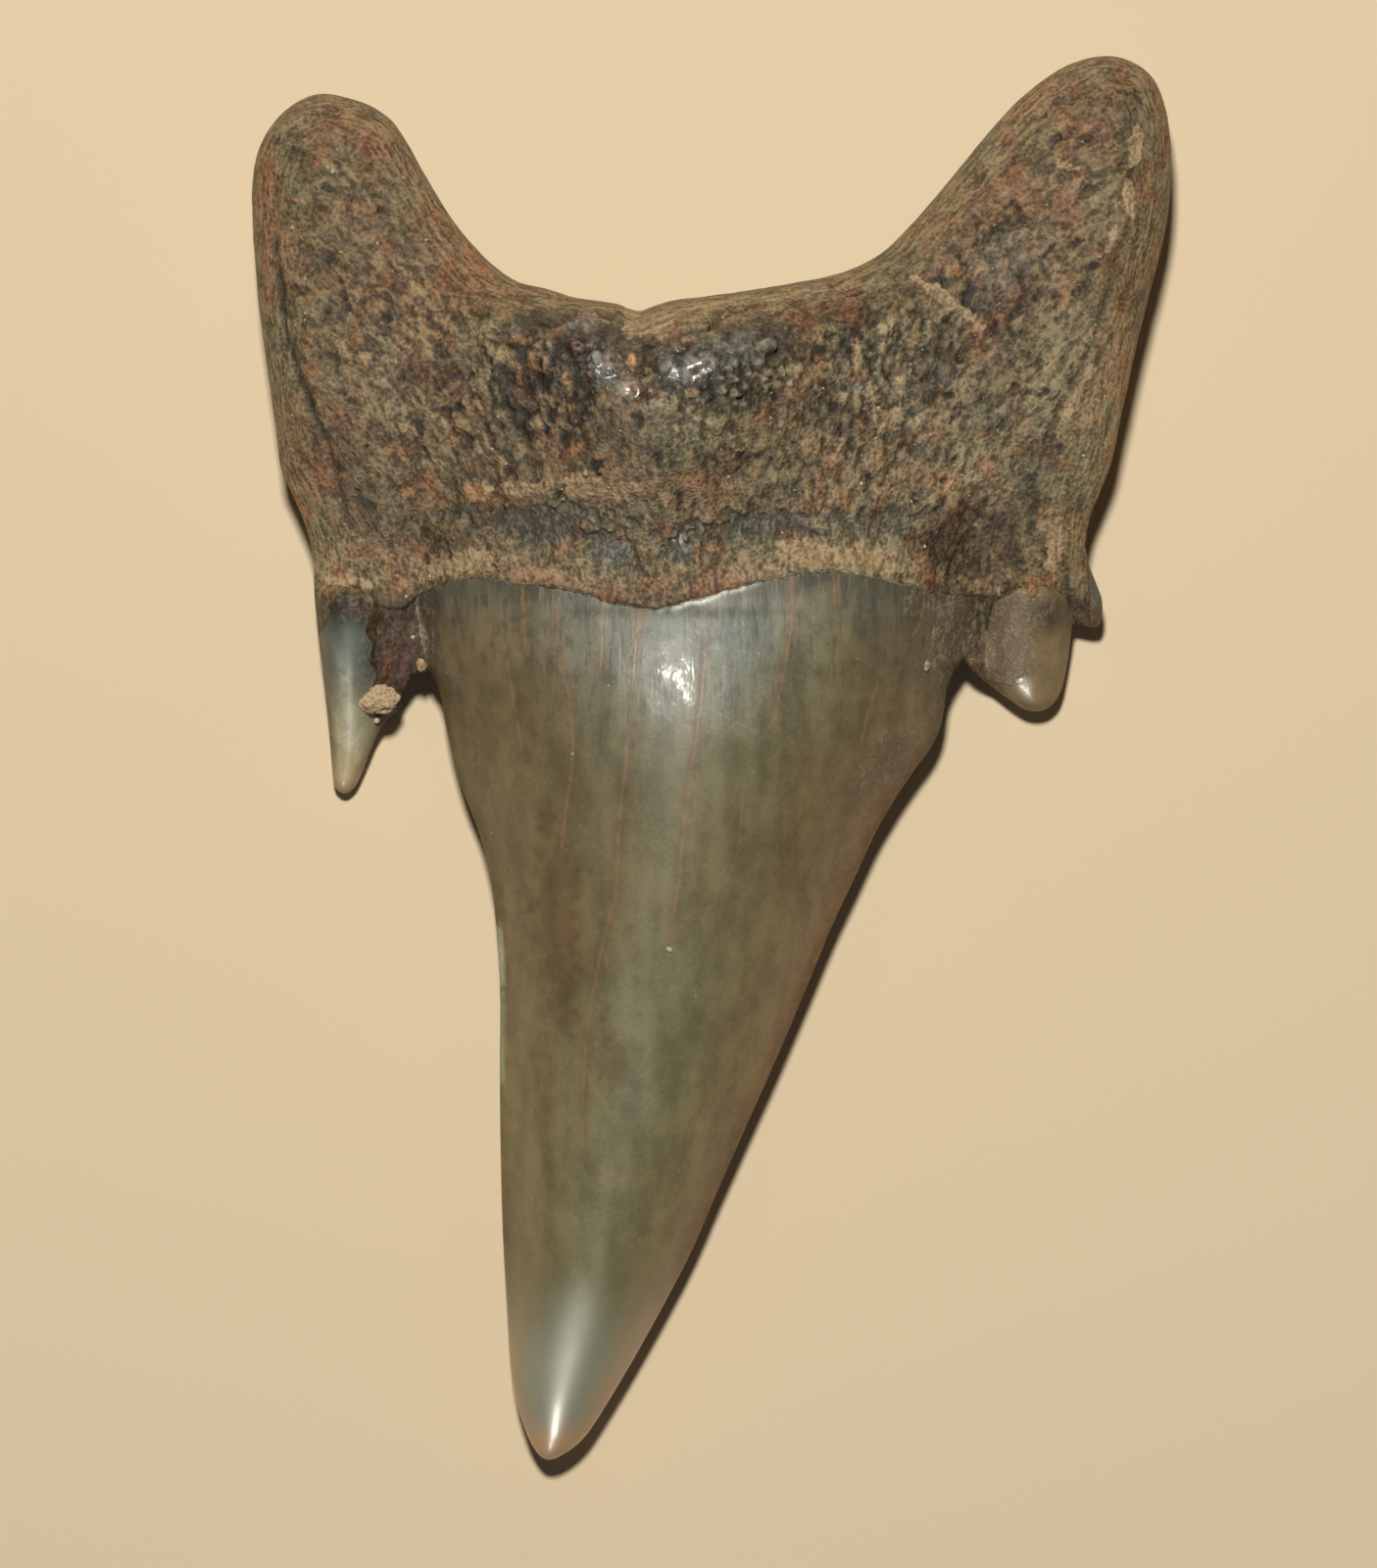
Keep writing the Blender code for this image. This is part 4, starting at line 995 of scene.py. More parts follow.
def crown_colours():
    """Olive in the middle, brown to the edges, slate and black by the neck, grey and pink at the tip;
    painted sheen, highlights and light laid over them.
    """
    side = np.clip(across(x, left_edge(y), right_edge(y)), -1, 1)
    broad = noisy(form, (1.1, 3.6, 2.0), 6.1)
    colours = layered(np.tile(OLIVE, (len(x), 1)), [
        # sage green down the middle of the crown, partly a painted sheen of the room
        (hump(side, 0.05, 0.42) * (0.75 + 0.3 * broad) * smooth_step((y + 12.5) / 3), SAGE_AND_SHEEN),
        (smooth_step((np.abs(side) - 0.35) / 0.5) * (0.8 + 0.4 * broad), CROWN_BROWN),
        (smooth_step((side - 0.78) / 0.2) * smooth_step((2.5 - y) / 4) * 0.9, EDGE_RED),
        # slate grey by the neck, partly a painted bluish sheen round the crest
        (hump(from_neck, 1.2, 2.7) * hump(side, -0.06, 0.48) * (0.85 + 0.3 * broad), SLATE_AND_SHEEN),
        (patches(CROWN_PATCHES, ragged + 0.3 * broad), CROWN_PATCH),
    ])
    low_crown = smooth_step((-5 - y) / 4)
    # the right flank of the crown is painted lighter, as if lit more
    right_flank_painted_light = smooth_step((side - 0.15) / 0.4) * smooth_step(-y / 3)
    colours = colours * (1 + low_crown[:, None] * np.array(LOW_CROWN_LIGHTER))
    colours = colours * (1 + RIGHT_FLANK_PAINTED_LIGHT * right_flank_painted_light)[:, None]
    dark_reach = 0.7 + 0.7 * smooth_step((-6.0 - x) / 1.5)
    dark_reach = dark_reach + 1.6 * smooth_step((x - 2.8) / 2.5) + 0.4 * broad
    to_tip = smooth_step((-14.6 - y) / 3.6)
    glow_width = 0.38 + 0.42 * smooth_step((-15.5 - y) / 3)
    by_edge = smooth_step((np.abs(side) - np.where(side < 0, 0.66, 0.55)) / 0.4)
    on_left_edge = smooth_step((0.24 - rim_distance) / 0.14) * (side < 0)
    return layered(colours, [
        (hump(from_neck, 0, dark_reach) * (1 - hump(x, -0.6, 1.8)) * 0.72, NECK_DARK),
        (hump(crack, 0, 0.22) * smooth_step(0.7 + 1.5 * ragged) * 0.55, CRACK_STAIN),
        # a painted highlight along the lip of the enameloid at the neck
        (hump(enamel, 0.07, 0.07) * smooth_step(1.2 - np.abs(x + 0.35) / 1.5 - ragged), PAINTED_LIP_HIGHLIGHT),
        # grey of the tip with a painted sheen, its glow widening towards the end
        (to_tip * hump(side, -0.07, glow_width) * 0.95, TIP_GREY_AND_SHEEN),
        # a painted highlight streak down the middle of the tip
        (smooth_step((-14.8 - y) / 3.5) * hump(side, -0.08, 0.19) * 0.75, PAINTED_TIP_HIGHLIGHT),
        (smooth_step((-15.5 - y) / 3.5) * by_edge, TIP_RIM),
        (smooth_step((-19.4 - y) / 1.3), TIP_END),
        (on_left_edge * patches(FLAKES, ragged), FLAKE),
    ])


def cusplet_colours():
    """The left cusplet from black through blue and cream to a pink tip, and the brown right ones, with
    painted sheen and highlights.
    """
    left = x < 0
    right = ~left
    bluish = smooth_step((4.6 - y) / 1.2)
    rim_brown = smooth_step((0.3 - rim_distance) / 0.25)
    # a painted diagonal sheen down the left cusplet
    sheen = hump(x + 10.95 - 0.17 * (2.2 - y), 0, 0.2) * hump(y, 1.8, 1.3) * smooth_step(0.8 + 1.5 * ragged)
    return layered(np.tile(CUSPLET_BROWN, (len(x), 1)), [
        (left * 1.0, CUSPLET_BLACK),
        (left * bluish, CUSPLET_BLUE),
        (left * smooth_step((3.2 - y) / 2.6) * hump(x, -10.85, 0.75), CUSPLET_CREAM),
        (left * smooth_step((0.6 - y) / 1.2) * 0.85, CUSPLET_PINK),
        (left * sheen * 0.6, CUSPLET_SHEEN),
        (left * rim_brown * bluish * 0.6, CUSPLET_BROWN),
        (right * hump(np.hypot((x - 10.1) / 1.2, y - 4.3), 0, 0.5), CUSPLET_BLACK),
        # a painted highlight near the tip of the right cusplet
        (right * hump(np.hypot(x - 9.42, (y - 2.15) / 1.4), 0, 0.17) * 0.8, CUSPLET_SHEEN),
        (right * smooth_step((x - 11.1) / 0.3), SECOND_BROWN),
        (right * smooth_step((x - 11.2) / 0.3) * hump(y, 5.1, 0.6) * 0.8, CUSPLET_BLUE),
        (right * hump(np.hypot(x - 11.5, y - 4.1), 0, 0.35) * 0.7, EDGE_RED),
    ])


# %% Colours of the bone, in linear light
BONE = (0.2, 0.144, 0.079)
BONE_BLACK = (0.034, 0.029, 0.023)
BONE_RED = (0.222, 0.126, 0.069)
BONE_ORANGE = (0.36, 0.19, 0.08)
BONE_PALE = (0.35, 0.272, 0.16)
BONE_OLIVE = (0.172, 0.140, 0.079)
BONE_SLATE = (0.115, 0.104, 0.078)
BONE_GREY = (0.22, 0.185, 0.15)
NECK_RED = (0.245, 0.152, 0.093)
SMOOTH_BROWN = (0.215, 0.155, 0.08)
# painted bluish glint for the glossy patches of the bone
PAINTED_GLINT_BLUE = (0.2, 0.225, 0.215)
WEB_BROWN = (0.07, 0.047, 0.033)
WEB_RED = (0.13, 0.062, 0.036)
KNOB_TONES = np.array([BONE_BLACK, BONE_OLIVE, BONE, BONE_RED, BONE, BONE_OLIVE, BONE_PALE, BONE_PALE])
KNOB_TONE_SHARE = 0.42
GREY_PATCH = [(-3.6, 11.8, 1.1, 1.0, 0, 0.85)]
# painted sheen: how much lighter and bluer the middle of the root is made
MIDDLE_PAINTED_SHEEN = (0.33, 0.43, 0.5)
RIM_LIGHTER = 0.35
SMOOTH_SIDE = ([6, 12, 18], [9.6, 11.3, 12.6])  # y, and the x where the smooth right side starts


def bone_colours():
    """Brown bone with slow changes, listed marks, a tone for each knob, painted shade between knobs and in
    creases, painted sheen.
    """
    broad = noisy(form, (1.3, 1.8, 1.3), 71.3)
    smooth_side = smooth_step((x - np.interp(y, *SMOOTH_SIDE)) / 0.6) * smooth_step((17 - y) / 2)
    colours = layered(np.tile(BONE, (len(x), 1)), [
        (smooth_side * 0.8, SMOOTH_BROWN),
        (smooth_step(broad + 0.3), BONE_OLIVE),
        (smooth_step(-broad - 0.1), BONE_RED),
        (pale * 0.9, BONE_PALE),
        (red * 0.85, BONE_RED),
    ])
    of_knob = KNOB_TONES[np.minimum((knob_number * len(KNOB_TONES)).astype(int), len(KNOB_TONES) - 1)]
    colours = colours + (of_knob - colours) * (KNOB_TONE_SHARE * in_field)[:, None]
    by_neck = hump(enamel, -0.35, 0.3) * smooth_step((x + 7) / 1.5) * smooth_step((3.2 - x) / 1.5)
    colours = layered(colours, [
        (patches(GREY_PATCH, ragged), BONE_GREY),
        (black * 0.8, BONE_BLACK),
        (bubbly * smooth_step(2.4 * knobs) * (0.25 + 0.6 * bubble_number), BONE_GREY),
        # painted shade between the knobs
        (gap_shade * 1.1, BONE_BLACK),
        (smooth_dark * 0.85, BONE_SLATE),
        (orange * 0.9, BONE_ORANGE),
        (by_neck * (1 - 0.8 * smooth_step(ragged * 3)) * 0.9, NECK_RED),
        # painted shade along the creases near the root's margins
        (crease_strength * smooth_step(0.8 + 2 * ragged) * 0.8, BONE_BLACK),
        # a painted bluish glint over the glossy patches
        (glossy * smooth_step(0.7 + 2 * ragged) * 0.55, PAINTED_GLINT_BLUE),
    ])
    # the middle of the root is painted lighter and bluer, a painted sheen
    middle = smooth_step((y - 4.5) / 1.0) * smooth_step((13.8 - y) / 3.0)
    middle = middle * (0.2 + 0.8 * smooth_step((x + 6) / 4))
    middle = middle * (1 - smooth_step((x - 5.5) / 1.5) * smooth_step((8.5 - y) / 1.5))
    colours = colours * (1 + middle[:, None] * np.array(MIDDLE_PAINTED_SHEEN))
    colours = colours * (1 + RIM_LIGHTER * (1 - smooth_step(rim_distance / 1.3)))[:, None]
    return layered(colours, [(smooth_step((5.4 - y) / 1.0) * 0.55, BONE_BLACK)])


# %% The tint of each point
on_crown = (x > left_edge(y) - 0.2) & (x < right_edge(y) + 0.2)
from_neck = np.where(on_crown, neck_line(x) - y, 99)
cap_colours = np.where(on_crown[:, None], crown_colours(), cusplet_colours())
to_bone = smooth_step((0.02 - enamel) / 0.06)
tint = cap_colours * (1 - to_bone[:, None]) + bone_colours() * to_bone[:, None]
left_web = smooth_step((5.2 - y) / 0.9) * smooth_step((x + 10.2) / 0.5) * smooth_step((-8.0 - x) / 0.5)
tint = layered(tint, [
    (left_web * smooth_step(0.9 + 1.5 * ragged) * 0.85, WEB_BROWN),
    (left_web * hump(np.hypot(x + 9.55, (y - 2.9) / 1.2), 0, 0.45), WEB_RED),
])
print("mean colour of the crown:", tint[enamel > 0.5].mean(axis=0).round(3))

# %% [markdown]
# ## The tooth as one mesh
# Crown, cusplets and root grew as one, so they stay one mesh. Only the cutting edges of the
# crown are marked sharp. Everything else is shaded smooth.

# %% Make the mesh
def make_mesh(name, points, faces):
    mesh = bpy.data.meshes.new(name)
    mesh.from_pydata((points * MM).tolist(), [], faces.tolist())
    mesh.update()
    made = bpy.data.objects.new(name, mesh)
    bpy.context.scene.collection.objects.link(made)
    mesh.shade_smooth()
    return made


def keep(mesh, kind, field, values_by_name):
    """Stores values on the mesh's points, where the material can read them by name."""
    for name, values in values_by_name.items():
        attribute = mesh.attributes.new(name, kind, "POINT")
        attribute.data.foreach_set(field, values.astype(np.float32).ravel())


def with_alpha(colours):
    return np.column_stack([colours, np.ones(len(colours))])


tooth_body = make_mesh("tooth_body", surface, triangles)

# %% Numbers that the finish needs
DIRT = [
    (8.7, 3.5, 0.95, 1.6, -14, 0.8), (9.4, 4.5, 1.2, 0.6, 0, 0.7), (-9.35, 3.1, 0.7, 1.9, -8, 1.0),
    (-9.95, 3.4, 0.5, 1.7, -6, 0.45), (-10.5, 4.6, 0.8, 0.5, -20, 0.5), (-9.6, 1.0, 0.4, 0.9, 20, 0.5),
    (11.2, 4.6, 0.35, 0.7, 0, 0.6), (7.3, 3.6, 0.8, 1.6, -8, 1.0), (-8.4, 4.0, 0.25, 1.0, 12, 0.6),
    (8.8, 2.6, 0.5, 0.4, -35, 0.5), (6.5, 4.6, 0.9, 0.5, 0, 0.5), (5.2, -0.2, 0.7, 1.7, -34, 0.55),
    (-6.9, 0.0, 0.3, 1.6, 18, 0.4), (3.9, -3.2, 0.4, 1.2, -26, 0.4),
]
POLISHED = [(9.45, 2.2, 0.45), (-11.0, -0.5, 0.45)]  # x, y, radius
POLISH_FROM_Y = (-13.5, -17.5)
DARK_GLOSS = 0.3
RELIEF_UNIT = 0.1

at_tip = smooth_step((POLISH_FROM_Y[0] - y) / (POLISH_FROM_Y[0] - POLISH_FROM_Y[1]))
polish = sum(hump(np.hypot(x - px, y - py), 0, radius) for px, py, radius in POLISHED)
mesh = tooth_body.data
keep(mesh, "FLOAT", "value", {
    "enamel": enamel,
    "relief": relief / RELIEF_UNIT,
    "pits": pits,
    "sediment": sediment * on_bone,
    "black": black,
    "gloss": np.maximum(glossy, DARK_GLOSS * np.maximum(black, smooth_dark)),
    "scratch": distance_to_lines(SCRATCHES),
    "polish": np.maximum(np.minimum(polish, 1), at_tip),
    "rim_distance": rim_distance,
    "dirt": patches(DIRT, 0.6 * ragged),
    "mottle": clouded(0.5, 11.3, 0.25, 13.9),
    "rust": clouded(0.8, 21.3, 0.35, 23.9),
    "cloud": clouded((0.9, 1.4, 0.9), 31.3, (0.45, 0.7, 0.45), 33.9),
    "streak": clouded((0.6, 5.0, 1.0), 41.3, (0.36, 2.6, 1.0), 43.9, 0.6),
    "crack": crack,
    "from_neck": from_neck,
    "rim_share": rim_share,
})
keep(mesh, "FLOAT_VECTOR", "vector", {"fan_flow": fan_flow, "rim_flow": rim_flow})
keep(mesh, "FLOAT_COLOR", "color", {"tint": with_alpha(tint)})
print("kept on the points:", len(mesh.attributes), "attributes")

# %% Sharp cutting edges
CROWN_EDGE_BELOW_Y = 2.4

ends = np.empty(len(mesh.edges) * 2, int)
mesh.edges.foreach_get("vertices", ends)
ends = ends.reshape(-1, 2)
along_rim = (ends < len(rim)).all(axis=1)
on_blade = along_rim & (form[ends[:, 0], 1] < CROWN_EDGE_BELOW_Y) & on_crown[ends[:, 0]]
mesh.attributes.new("sharp_edge", "BOOLEAN", "EDGE").data.foreach_set("value", on_blade)
print("tooth_body:", len(mesh.polygons), "triangles,", int(on_blade.sum()), "sharp edges")

# %% [markdown]
# ## Node helpers
# A material is a graph of small steps. It could be wired by hand in the node editor. Here a
# few short functions each add one node, and +, - and * between two outputs add the node that
# does that sum, so a pattern reads like a formula.


# %% Outputs that can be used in formulas
class Output:
    """One output of a node. Sums with it add Math nodes to its graph."""

    def __init__(self, graph, socket):
        self.graph = graph
        self.socket = socket

    def __add__(self, other):
        return self.graph.calc("ADD", self, other)

    def __sub__(self, other):
        return self.graph.calc("SUBTRACT", self, other)

    def __mul__(self, other):
        return self.graph.calc("MULTIPLY", self, other)

    def beside(self, name):
        """Another output of the same node."""
        return Output(self.graph, self.socket.node.outputs[name])


# %% Graph of a material
class Graph:
    """Short ways to add nodes to one material and to join them."""

    def __init__(self, name):
        self.material = bpy.data.materials.new(name)
        self.material.use_nodes = True
        self.tree = self.material.node_tree
        self.principled = self.tree.nodes["Principled BSDF"]

    def put(self, value, socket):
        """Links an output to a socket, or sets the socket to a plain value."""
        if isinstance(value, Output):
            self.tree.links.new(value.socket, socket)
        else:
            socket.default_value = value

    def node(self, kind, inputs, output=0, **settings):
        made = self.tree.nodes.new(kind)
        for key, value in settings.items():
            setattr(made, key, value)
        for key, value in inputs.items():
            self.put(value, made.inputs[key])
        return Output(self, made.outputs[output])

    def finish(self, **values):
        """Sets the main shader's sockets, with _ for a space in a name."""
        for key, value in values.items():
            self.put(value, self.principled.inputs[key.replace("_", " ")])
        return self.material

    def kept(self, name, output="Fac"):
        """A number, vector or colour that the mesh carries."""
        return self.node("ShaderNodeAttribute", {}, output, attribute_name=name)

    def place(self):
        """Where a point is on the tooth, in mm."""
        return self.scaled(self.node("ShaderNodeTexCoord", {}, "Object"), (1 / MM,) * 3)

    def calc(self, operation, a, b, clamp=False):
        return self.node("ShaderNodeMath", {0: a, 1: b}, operation=operation, use_clamp=clamp)

    def scaled(self, vector, by):
        return self.node("ShaderNodeVectorMath", {0: vector, 1: by}, operation="MULTIPLY")

    def noise(self, vector, by, detail, roughness=0.5):
        """Noise between 0 and 1, with so many waves a mm along each coordinate."""
        inputs = {"Vector": self.scaled(vector, by), "Scale": 1.0, "Detail": detail, "Roughness": roughness}
        return self.node("ShaderNodeTexNoise", inputs)

    def cells(self, vector, by):
        inputs = {"Vector": self.scaled(vector, by), "Scale": 1.0}
        return self.node("ShaderNodeTexVoronoi", inputs, "Distance")

    def spread(self, value, low, high, to_low=0.0, to_high=1.0):
        """The value mapped smoothly from one range to another."""
        inputs = {0: value, 1: low, 2: high, 3: to_low, 4: to_high}
        return self.node("ShaderNodeMapRange", inputs, interpolation_type="SMOOTHSTEP")

    def mixed(self, factor, a, b, blend_type="MIX"):
        """Two colours mixed by a factor."""
        a, b = (v if isinstance(v, Output) else (*v, 1.0) for v in (a, b))
        settings = {"data_type": "RGBA", "blend_type": blend_type}
        return self.node("ShaderNodeMix", {0: factor, 6: a, 7: b}, 2, **settings)

    def blended(self, factor, a, b):
        """Two numbers mixed by a factor."""
        return self.node("ShaderNodeMix", {0: factor, 2: a, 3: b}, 0, data_type="FLOAT")

    def tinted(self, colour, amount):
        """The colour made lighter or darker by a number."""
        grey = self.node("ShaderNodeCombineColor", {0: amount, 1: amount, 2: amount})
        return self.mixed(1.0, colour, grey, "MULTIPLY")

    def bumped(self, height, depth_mm):
        return self.node("ShaderNodeBump", {"Strength": 1.0, "Distance": depth_mm * MM, "Height": height})

    def specks(self, by, sizes, size, edge):
        """Round specks of many sizes, one in some of the cells: 1 on a speck."""
        near = self.cells(self.place(), (by,) * 3)
        speck_size = self.spread(near.beside("Color"), *sizes) * size
        return self.spread(near - speck_size, *edge)


# %% [markdown]
# ## Finish of the tooth
# One material covers the tooth, because enameloid and bone meet in a ragged line that is
# easier to draw as a mask than as two meshes. Enameloid is glassy, with fine streaks along
# the crown and stained hairline cracks. Bone is rough, with pits darkened by painted shade,
# pale worn fibres and bright mineral specks that also serve as painted glints. Its tone is
# painted lighter where it stands up and darker where it is low. Sediment is pale, dry and grainy.

# %% Patterns of the bone
FLECK_SHARE = 0.72

tooth = Graph("fossil_tooth")
place = tooth.place()
fan_flecks = tooth.noise(tooth.kept("fan_flow", "Vector"), (5.2, 2.8, 3.6), 3.0, 0.68)
rim_flecks = tooth.noise(tooth.kept("rim_flow", "Vector"), (4.6, 1.4, 1.0), 3.0, 0.65)
flecks = tooth.blended(tooth.kept("rim_share"), fan_flecks, rim_flecks)
grain = tooth.noise(place, (9.0, 9.0, 9.0), 0.0)
mottle = tooth.kept("mottle")
level = flecks * FLECK_SHARE + grain * (1 - FLECK_SHARE)
# the relief term paints raised bone lighter and low bone darker: painted light and shade over the flecks
bone_level_and_shade = level + tooth.kept("relief") * 0.05 + mottle * 0.025

# %% Colour of the bone
WORN_FIBRE = (0.34, 0.27, 0.165)
RUST_TINT = (1.12, 0.72, 0.6)
# painted shade for the pits
PIT_SHADE = (0.02, 0.017, 0.013)
# pale mineral grains, also standing in as painted glints
MINERAL_SPECK_AND_GLINT = (0.46, 0.39, 0.28)

tint_kept = tooth.kept("tint", "Color")
black_kept = tooth.kept("black")
dirt_kept = tooth.kept("dirt")
bone = tooth.tinted(tint_kept, tooth.spread(bone_level_and_shade, 0.34, 0.66, 0.38, 1.5))
worn = tooth.spread(bone_level_and_shade, 0.56, 0.7) * tooth.spread(mottle, -0.4, 0.9, 0.05, 0.48)
worn = worn * tooth.spread(black_kept, 0.2, 1.0, 1.0, 0.3) * tooth.spread(dirt_kept, 0.0, 1.0, 1.0, 0.2)
bone = tooth.mixed(worn, bone, WORN_FIBRE)
rusty = tooth.mixed(1.0, bone, RUST_TINT, "MULTIPLY")
bone = tooth.mixed(tooth.spread(tooth.kept("rust"), 0.1, 0.9) * 0.6, bone, rusty)
# the pits are darkened with painted shade
bone = tooth.mixed(tooth.kept("pits") * 0.85, bone, PIT_SHADE)
# pale mineral specks that also serve as painted glints
speck = tooth.specks(3.1, (0.5, 0.95), 0.17, (0.02, -0.04))
bone = tooth.mixed(speck * 0.5, bone, MINERAL_SPECK_AND_GLINT)

# %% Colour of the sediment
SAND_DARK = (0.21, 0.145, 0.08)
SAND_PALE = (0.47, 0.355, 0.215)

sand = tooth.mixed(tooth.spread(level, 0.36, 0.62), SAND_DARK, SAND_PALE)
sand_mask = tooth.kept("sediment") + (level - 0.5) * 1.3 + mottle * 0.12
sand_mask = tooth.spread(sand_mask, 0.2, 0.75, 0.0, 0.97)
bone = tooth.mixed(sand_mask, bone, sand)

# %% Clouds and streaks of the enameloid
cloud = tooth.kept("cloud")
fine_streaks = tooth.noise(place, (8.0, 0.8, 3.0), 1.0, 0.6)
fine_cloud = tooth.noise(place, (2.6, 1.8, 2.0), 2.0, 0.65)
light = tooth.kept("streak") * 0.10 + cloud * 0.07 + fine_cloud * 0.4 + (grain - 0.5) * 0.16
polish_kept = tooth.kept("polish")
light = tooth.blended(polish_kept, light, 0.2)
glass = tooth.tinted(tint_kept, tooth.spread(light, 0.0, 0.4, 0.76, 1.26))

# %% Marks on the enameloid
PALE_STRIA = (0.34, 0.30, 0.20)
DARK_STRIA = (0.05, 0.052, 0.042)
CRACK_LINE = (0.26, 0.17, 0.105)
SCRATCH_LINE = (0.42, 0.40, 0.32)
DUST = (0.48, 0.42, 0.30)
DIRT_DARK = (0.11, 0.077, 0.051)
DIRT_PALE = (0.31, 0.245, 0.16)

from_neck_kept = tooth.kept("from_neck")
near_neck = tooth.spread(from_neck_kept, 1.5, 0.0) * tooth.spread(cloud, -0.7, 0.9, 0.2, 1.0)
stria = tooth.spread(fine_streaks, 0.52, 0.74) * near_neck
glass = tooth.mixed(stria * 0.45, glass, PALE_STRIA)
blotch = fine_streaks * 0.5 + fine_cloud * 0.5
dark_stria = tooth.spread(blotch, 0.5, 0.38) * tooth.spread(from_neck_kept, 6.0, 0.5)
glass = tooth.mixed(dark_stria * 0.5, glass, DARK_STRIA)
crack_away = tooth.kept("crack") + (grain - 0.5) * 0.09
crack_line = tooth.spread(crack_away, 0.065, 0.012) * tooth.spread(fine_cloud, 0.38, 0.56, 0.2, 0.8)
glass = tooth.mixed(crack_line * 0.85, glass, CRACK_LINE)
scratch_away = tooth.kept("scratch") + (grain - 0.5) * 0.06
scratch = tooth.spread(scratch_away, 0.035, 0.0) * tooth.spread(fine_cloud, 0.4, 0.6, 0.05, 0.45)
glass = tooth.mixed(scratch, glass, SCRATCH_LINE)
dust = tooth.specks(2.3, (0.62, 1.0), 0.13, (0.01, -0.03))
glass = tooth.mixed(dust * 0.5, glass, DUST)
dirt = tooth.spread(dirt_kept + (level - 0.5), 0.05, 1.1) * 0.85
dirt_colour = tooth.mixed(tooth.spread(bone_level_and_shade, 0.42, 0.66), DIRT_DARK, DIRT_PALE)
glass = tooth.mixed(dirt, glass, dirt_colour)

# %% Gloss of the bone and the enameloid
gloss_kept = tooth.kept("gloss")
bone_rough = tooth.spread(gloss_kept, 0.1, 1.0, 0.62, 0.27) + mottle * 0.06
bone_rough = tooth.blended(sand_mask, bone_rough, 0.9)
bone_specular = tooth.spread(gloss_kept, 0.1, 1.0, 0.22, 0.7)
glass_rough = tooth.spread(cloud, -1.0, 1.0, 0.44, 0.52) + dirt * 0.2
glass_specular = tooth.spread(tooth.kept("rim_distance"), 0.0, 0.5, 0.1, 0.5)
glass_specular = glass_specular * tooth.spread(from_neck_kept, 60.0, 50.0, 0.7, 1.0)
glass_height = tooth.blended(polish_kept, fine_streaks * 0.08 + fine_cloud * 0.22, 0.0)
glass_height = glass_height + dirt * level * 1.2
bone_height = level * tooth.spread(gloss_kept, 0.15, 0.9, 2.0, 0.4)

# %% Join enameloid and bone
BUMP_MM = 0.07
REFRACTION = 1.6

is_glass = tooth.spread(tooth.kept("enamel") + (level - 0.5) * 0.2, -0.02, 0.03)
finish_normal = tooth.bumped(tooth.blended(is_glass, bone_height, glass_height), BUMP_MM)
crown_only = tooth.spread(from_neck_kept, 60.0, 50.0, 0.02, 1.0)
coat = tooth.spread(fine_cloud, 0.42, 0.62, 0.01, 0.12) * crown_only
coat = tooth.blended(polish_kept, coat, 1.0)
coat = coat * tooth.calc("SUBTRACT", is_glass, dirt, clamp=True)
tooth_body.data.materials.append(tooth.finish(
    Base_Color=tooth.mixed(is_glass, bone, glass),
    Roughness=tooth.blended(is_glass, bone_rough, glass_rough),
    IOR=REFRACTION,
    Specular_IOR_Level=tooth.blended(is_glass, bone_specular, glass_specular),
    Coat_Weight=coat,
    Coat_Roughness=tooth.spread(polish_kept, 0.0, 1.0, 0.13, 0.28),
    Coat_Normal=finish_normal,
    Normal=finish_normal,
))
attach(tooth_body, "root")
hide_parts("tooth")
print("tooth finish:", len(tooth.tree.nodes), "nodes")

# %% [markdown]
# ## Crumb and grains
# A crumb of hardened sediment sticks to the left cusplet, and single sand grains sit in the
# hollows. Spheres pushed about by noise make good grains, because broken quartz and clay
# have no straight faces at this size. Each is set on the surface found by a ray from above.

# %% Crumb of sediment
CRUMB_PLACE = (-10.12, 1.82)
CRUMB_HALF = (0.68, 0.44, 0.34)
CRUMB_DIVISIONS = 6
CRUMB_WAVES = [(0.9, 0.17), (0.42, 0.13), (0.2, 0.075), (0.1, 0.03)]  # size, and share of the radius
CRUMB_LIFT = 0.02
CRUMB_LOWEST = 0.2
tree_of_surface = BVHTree.FromPolygons(surface.tolist(), triangles.tolist())


def height_at(px, py):
    """Height of the finished surface at a place, seen from above."""
    return tree_of_surface.ray_cast(Vector((px, py, 20)), Vector((0, 0, -1)))[0].z


def ball(divisions):
    """Points and triangles of a round ball of radius 1."""
    shape = bmesh.new()
    bmesh.ops.create_icosphere(shape, subdivisions=divisions, radius=1)
    points = np.array([vertex.co for vertex in shape.verts])
    faces = np.array([[vertex.index for vertex in face.verts] for face in shape.faces])
    shape.free()
    return points, faces


def roughened(points, waves_and_rises, shift):
    """The ball with noise pushed in and out of it, in shares of its radius."""
    push = sum(rise * noisy(points, wave, shift) for wave, rise in waves_and_rises)
    return points * (1 + push)[:, None]


crumb_points, crumb_faces = ball(CRUMB_DIVISIONS)
crumb_points = roughened(crumb_points, CRUMB_WAVES, 5.5) * np.array(CRUMB_HALF)
crumb_points = crumb_points + np.array((*CRUMB_PLACE, height_at(*CRUMB_PLACE) + CRUMB_LIFT))
crumb_points[:, 2] = np.maximum(crumb_points[:, 2], CRUMB_LOWEST)
crumb = make_mesh("sediment_crumb", crumb_points, crumb_faces)
print("crumb:", len(crumb_faces), "triangles")

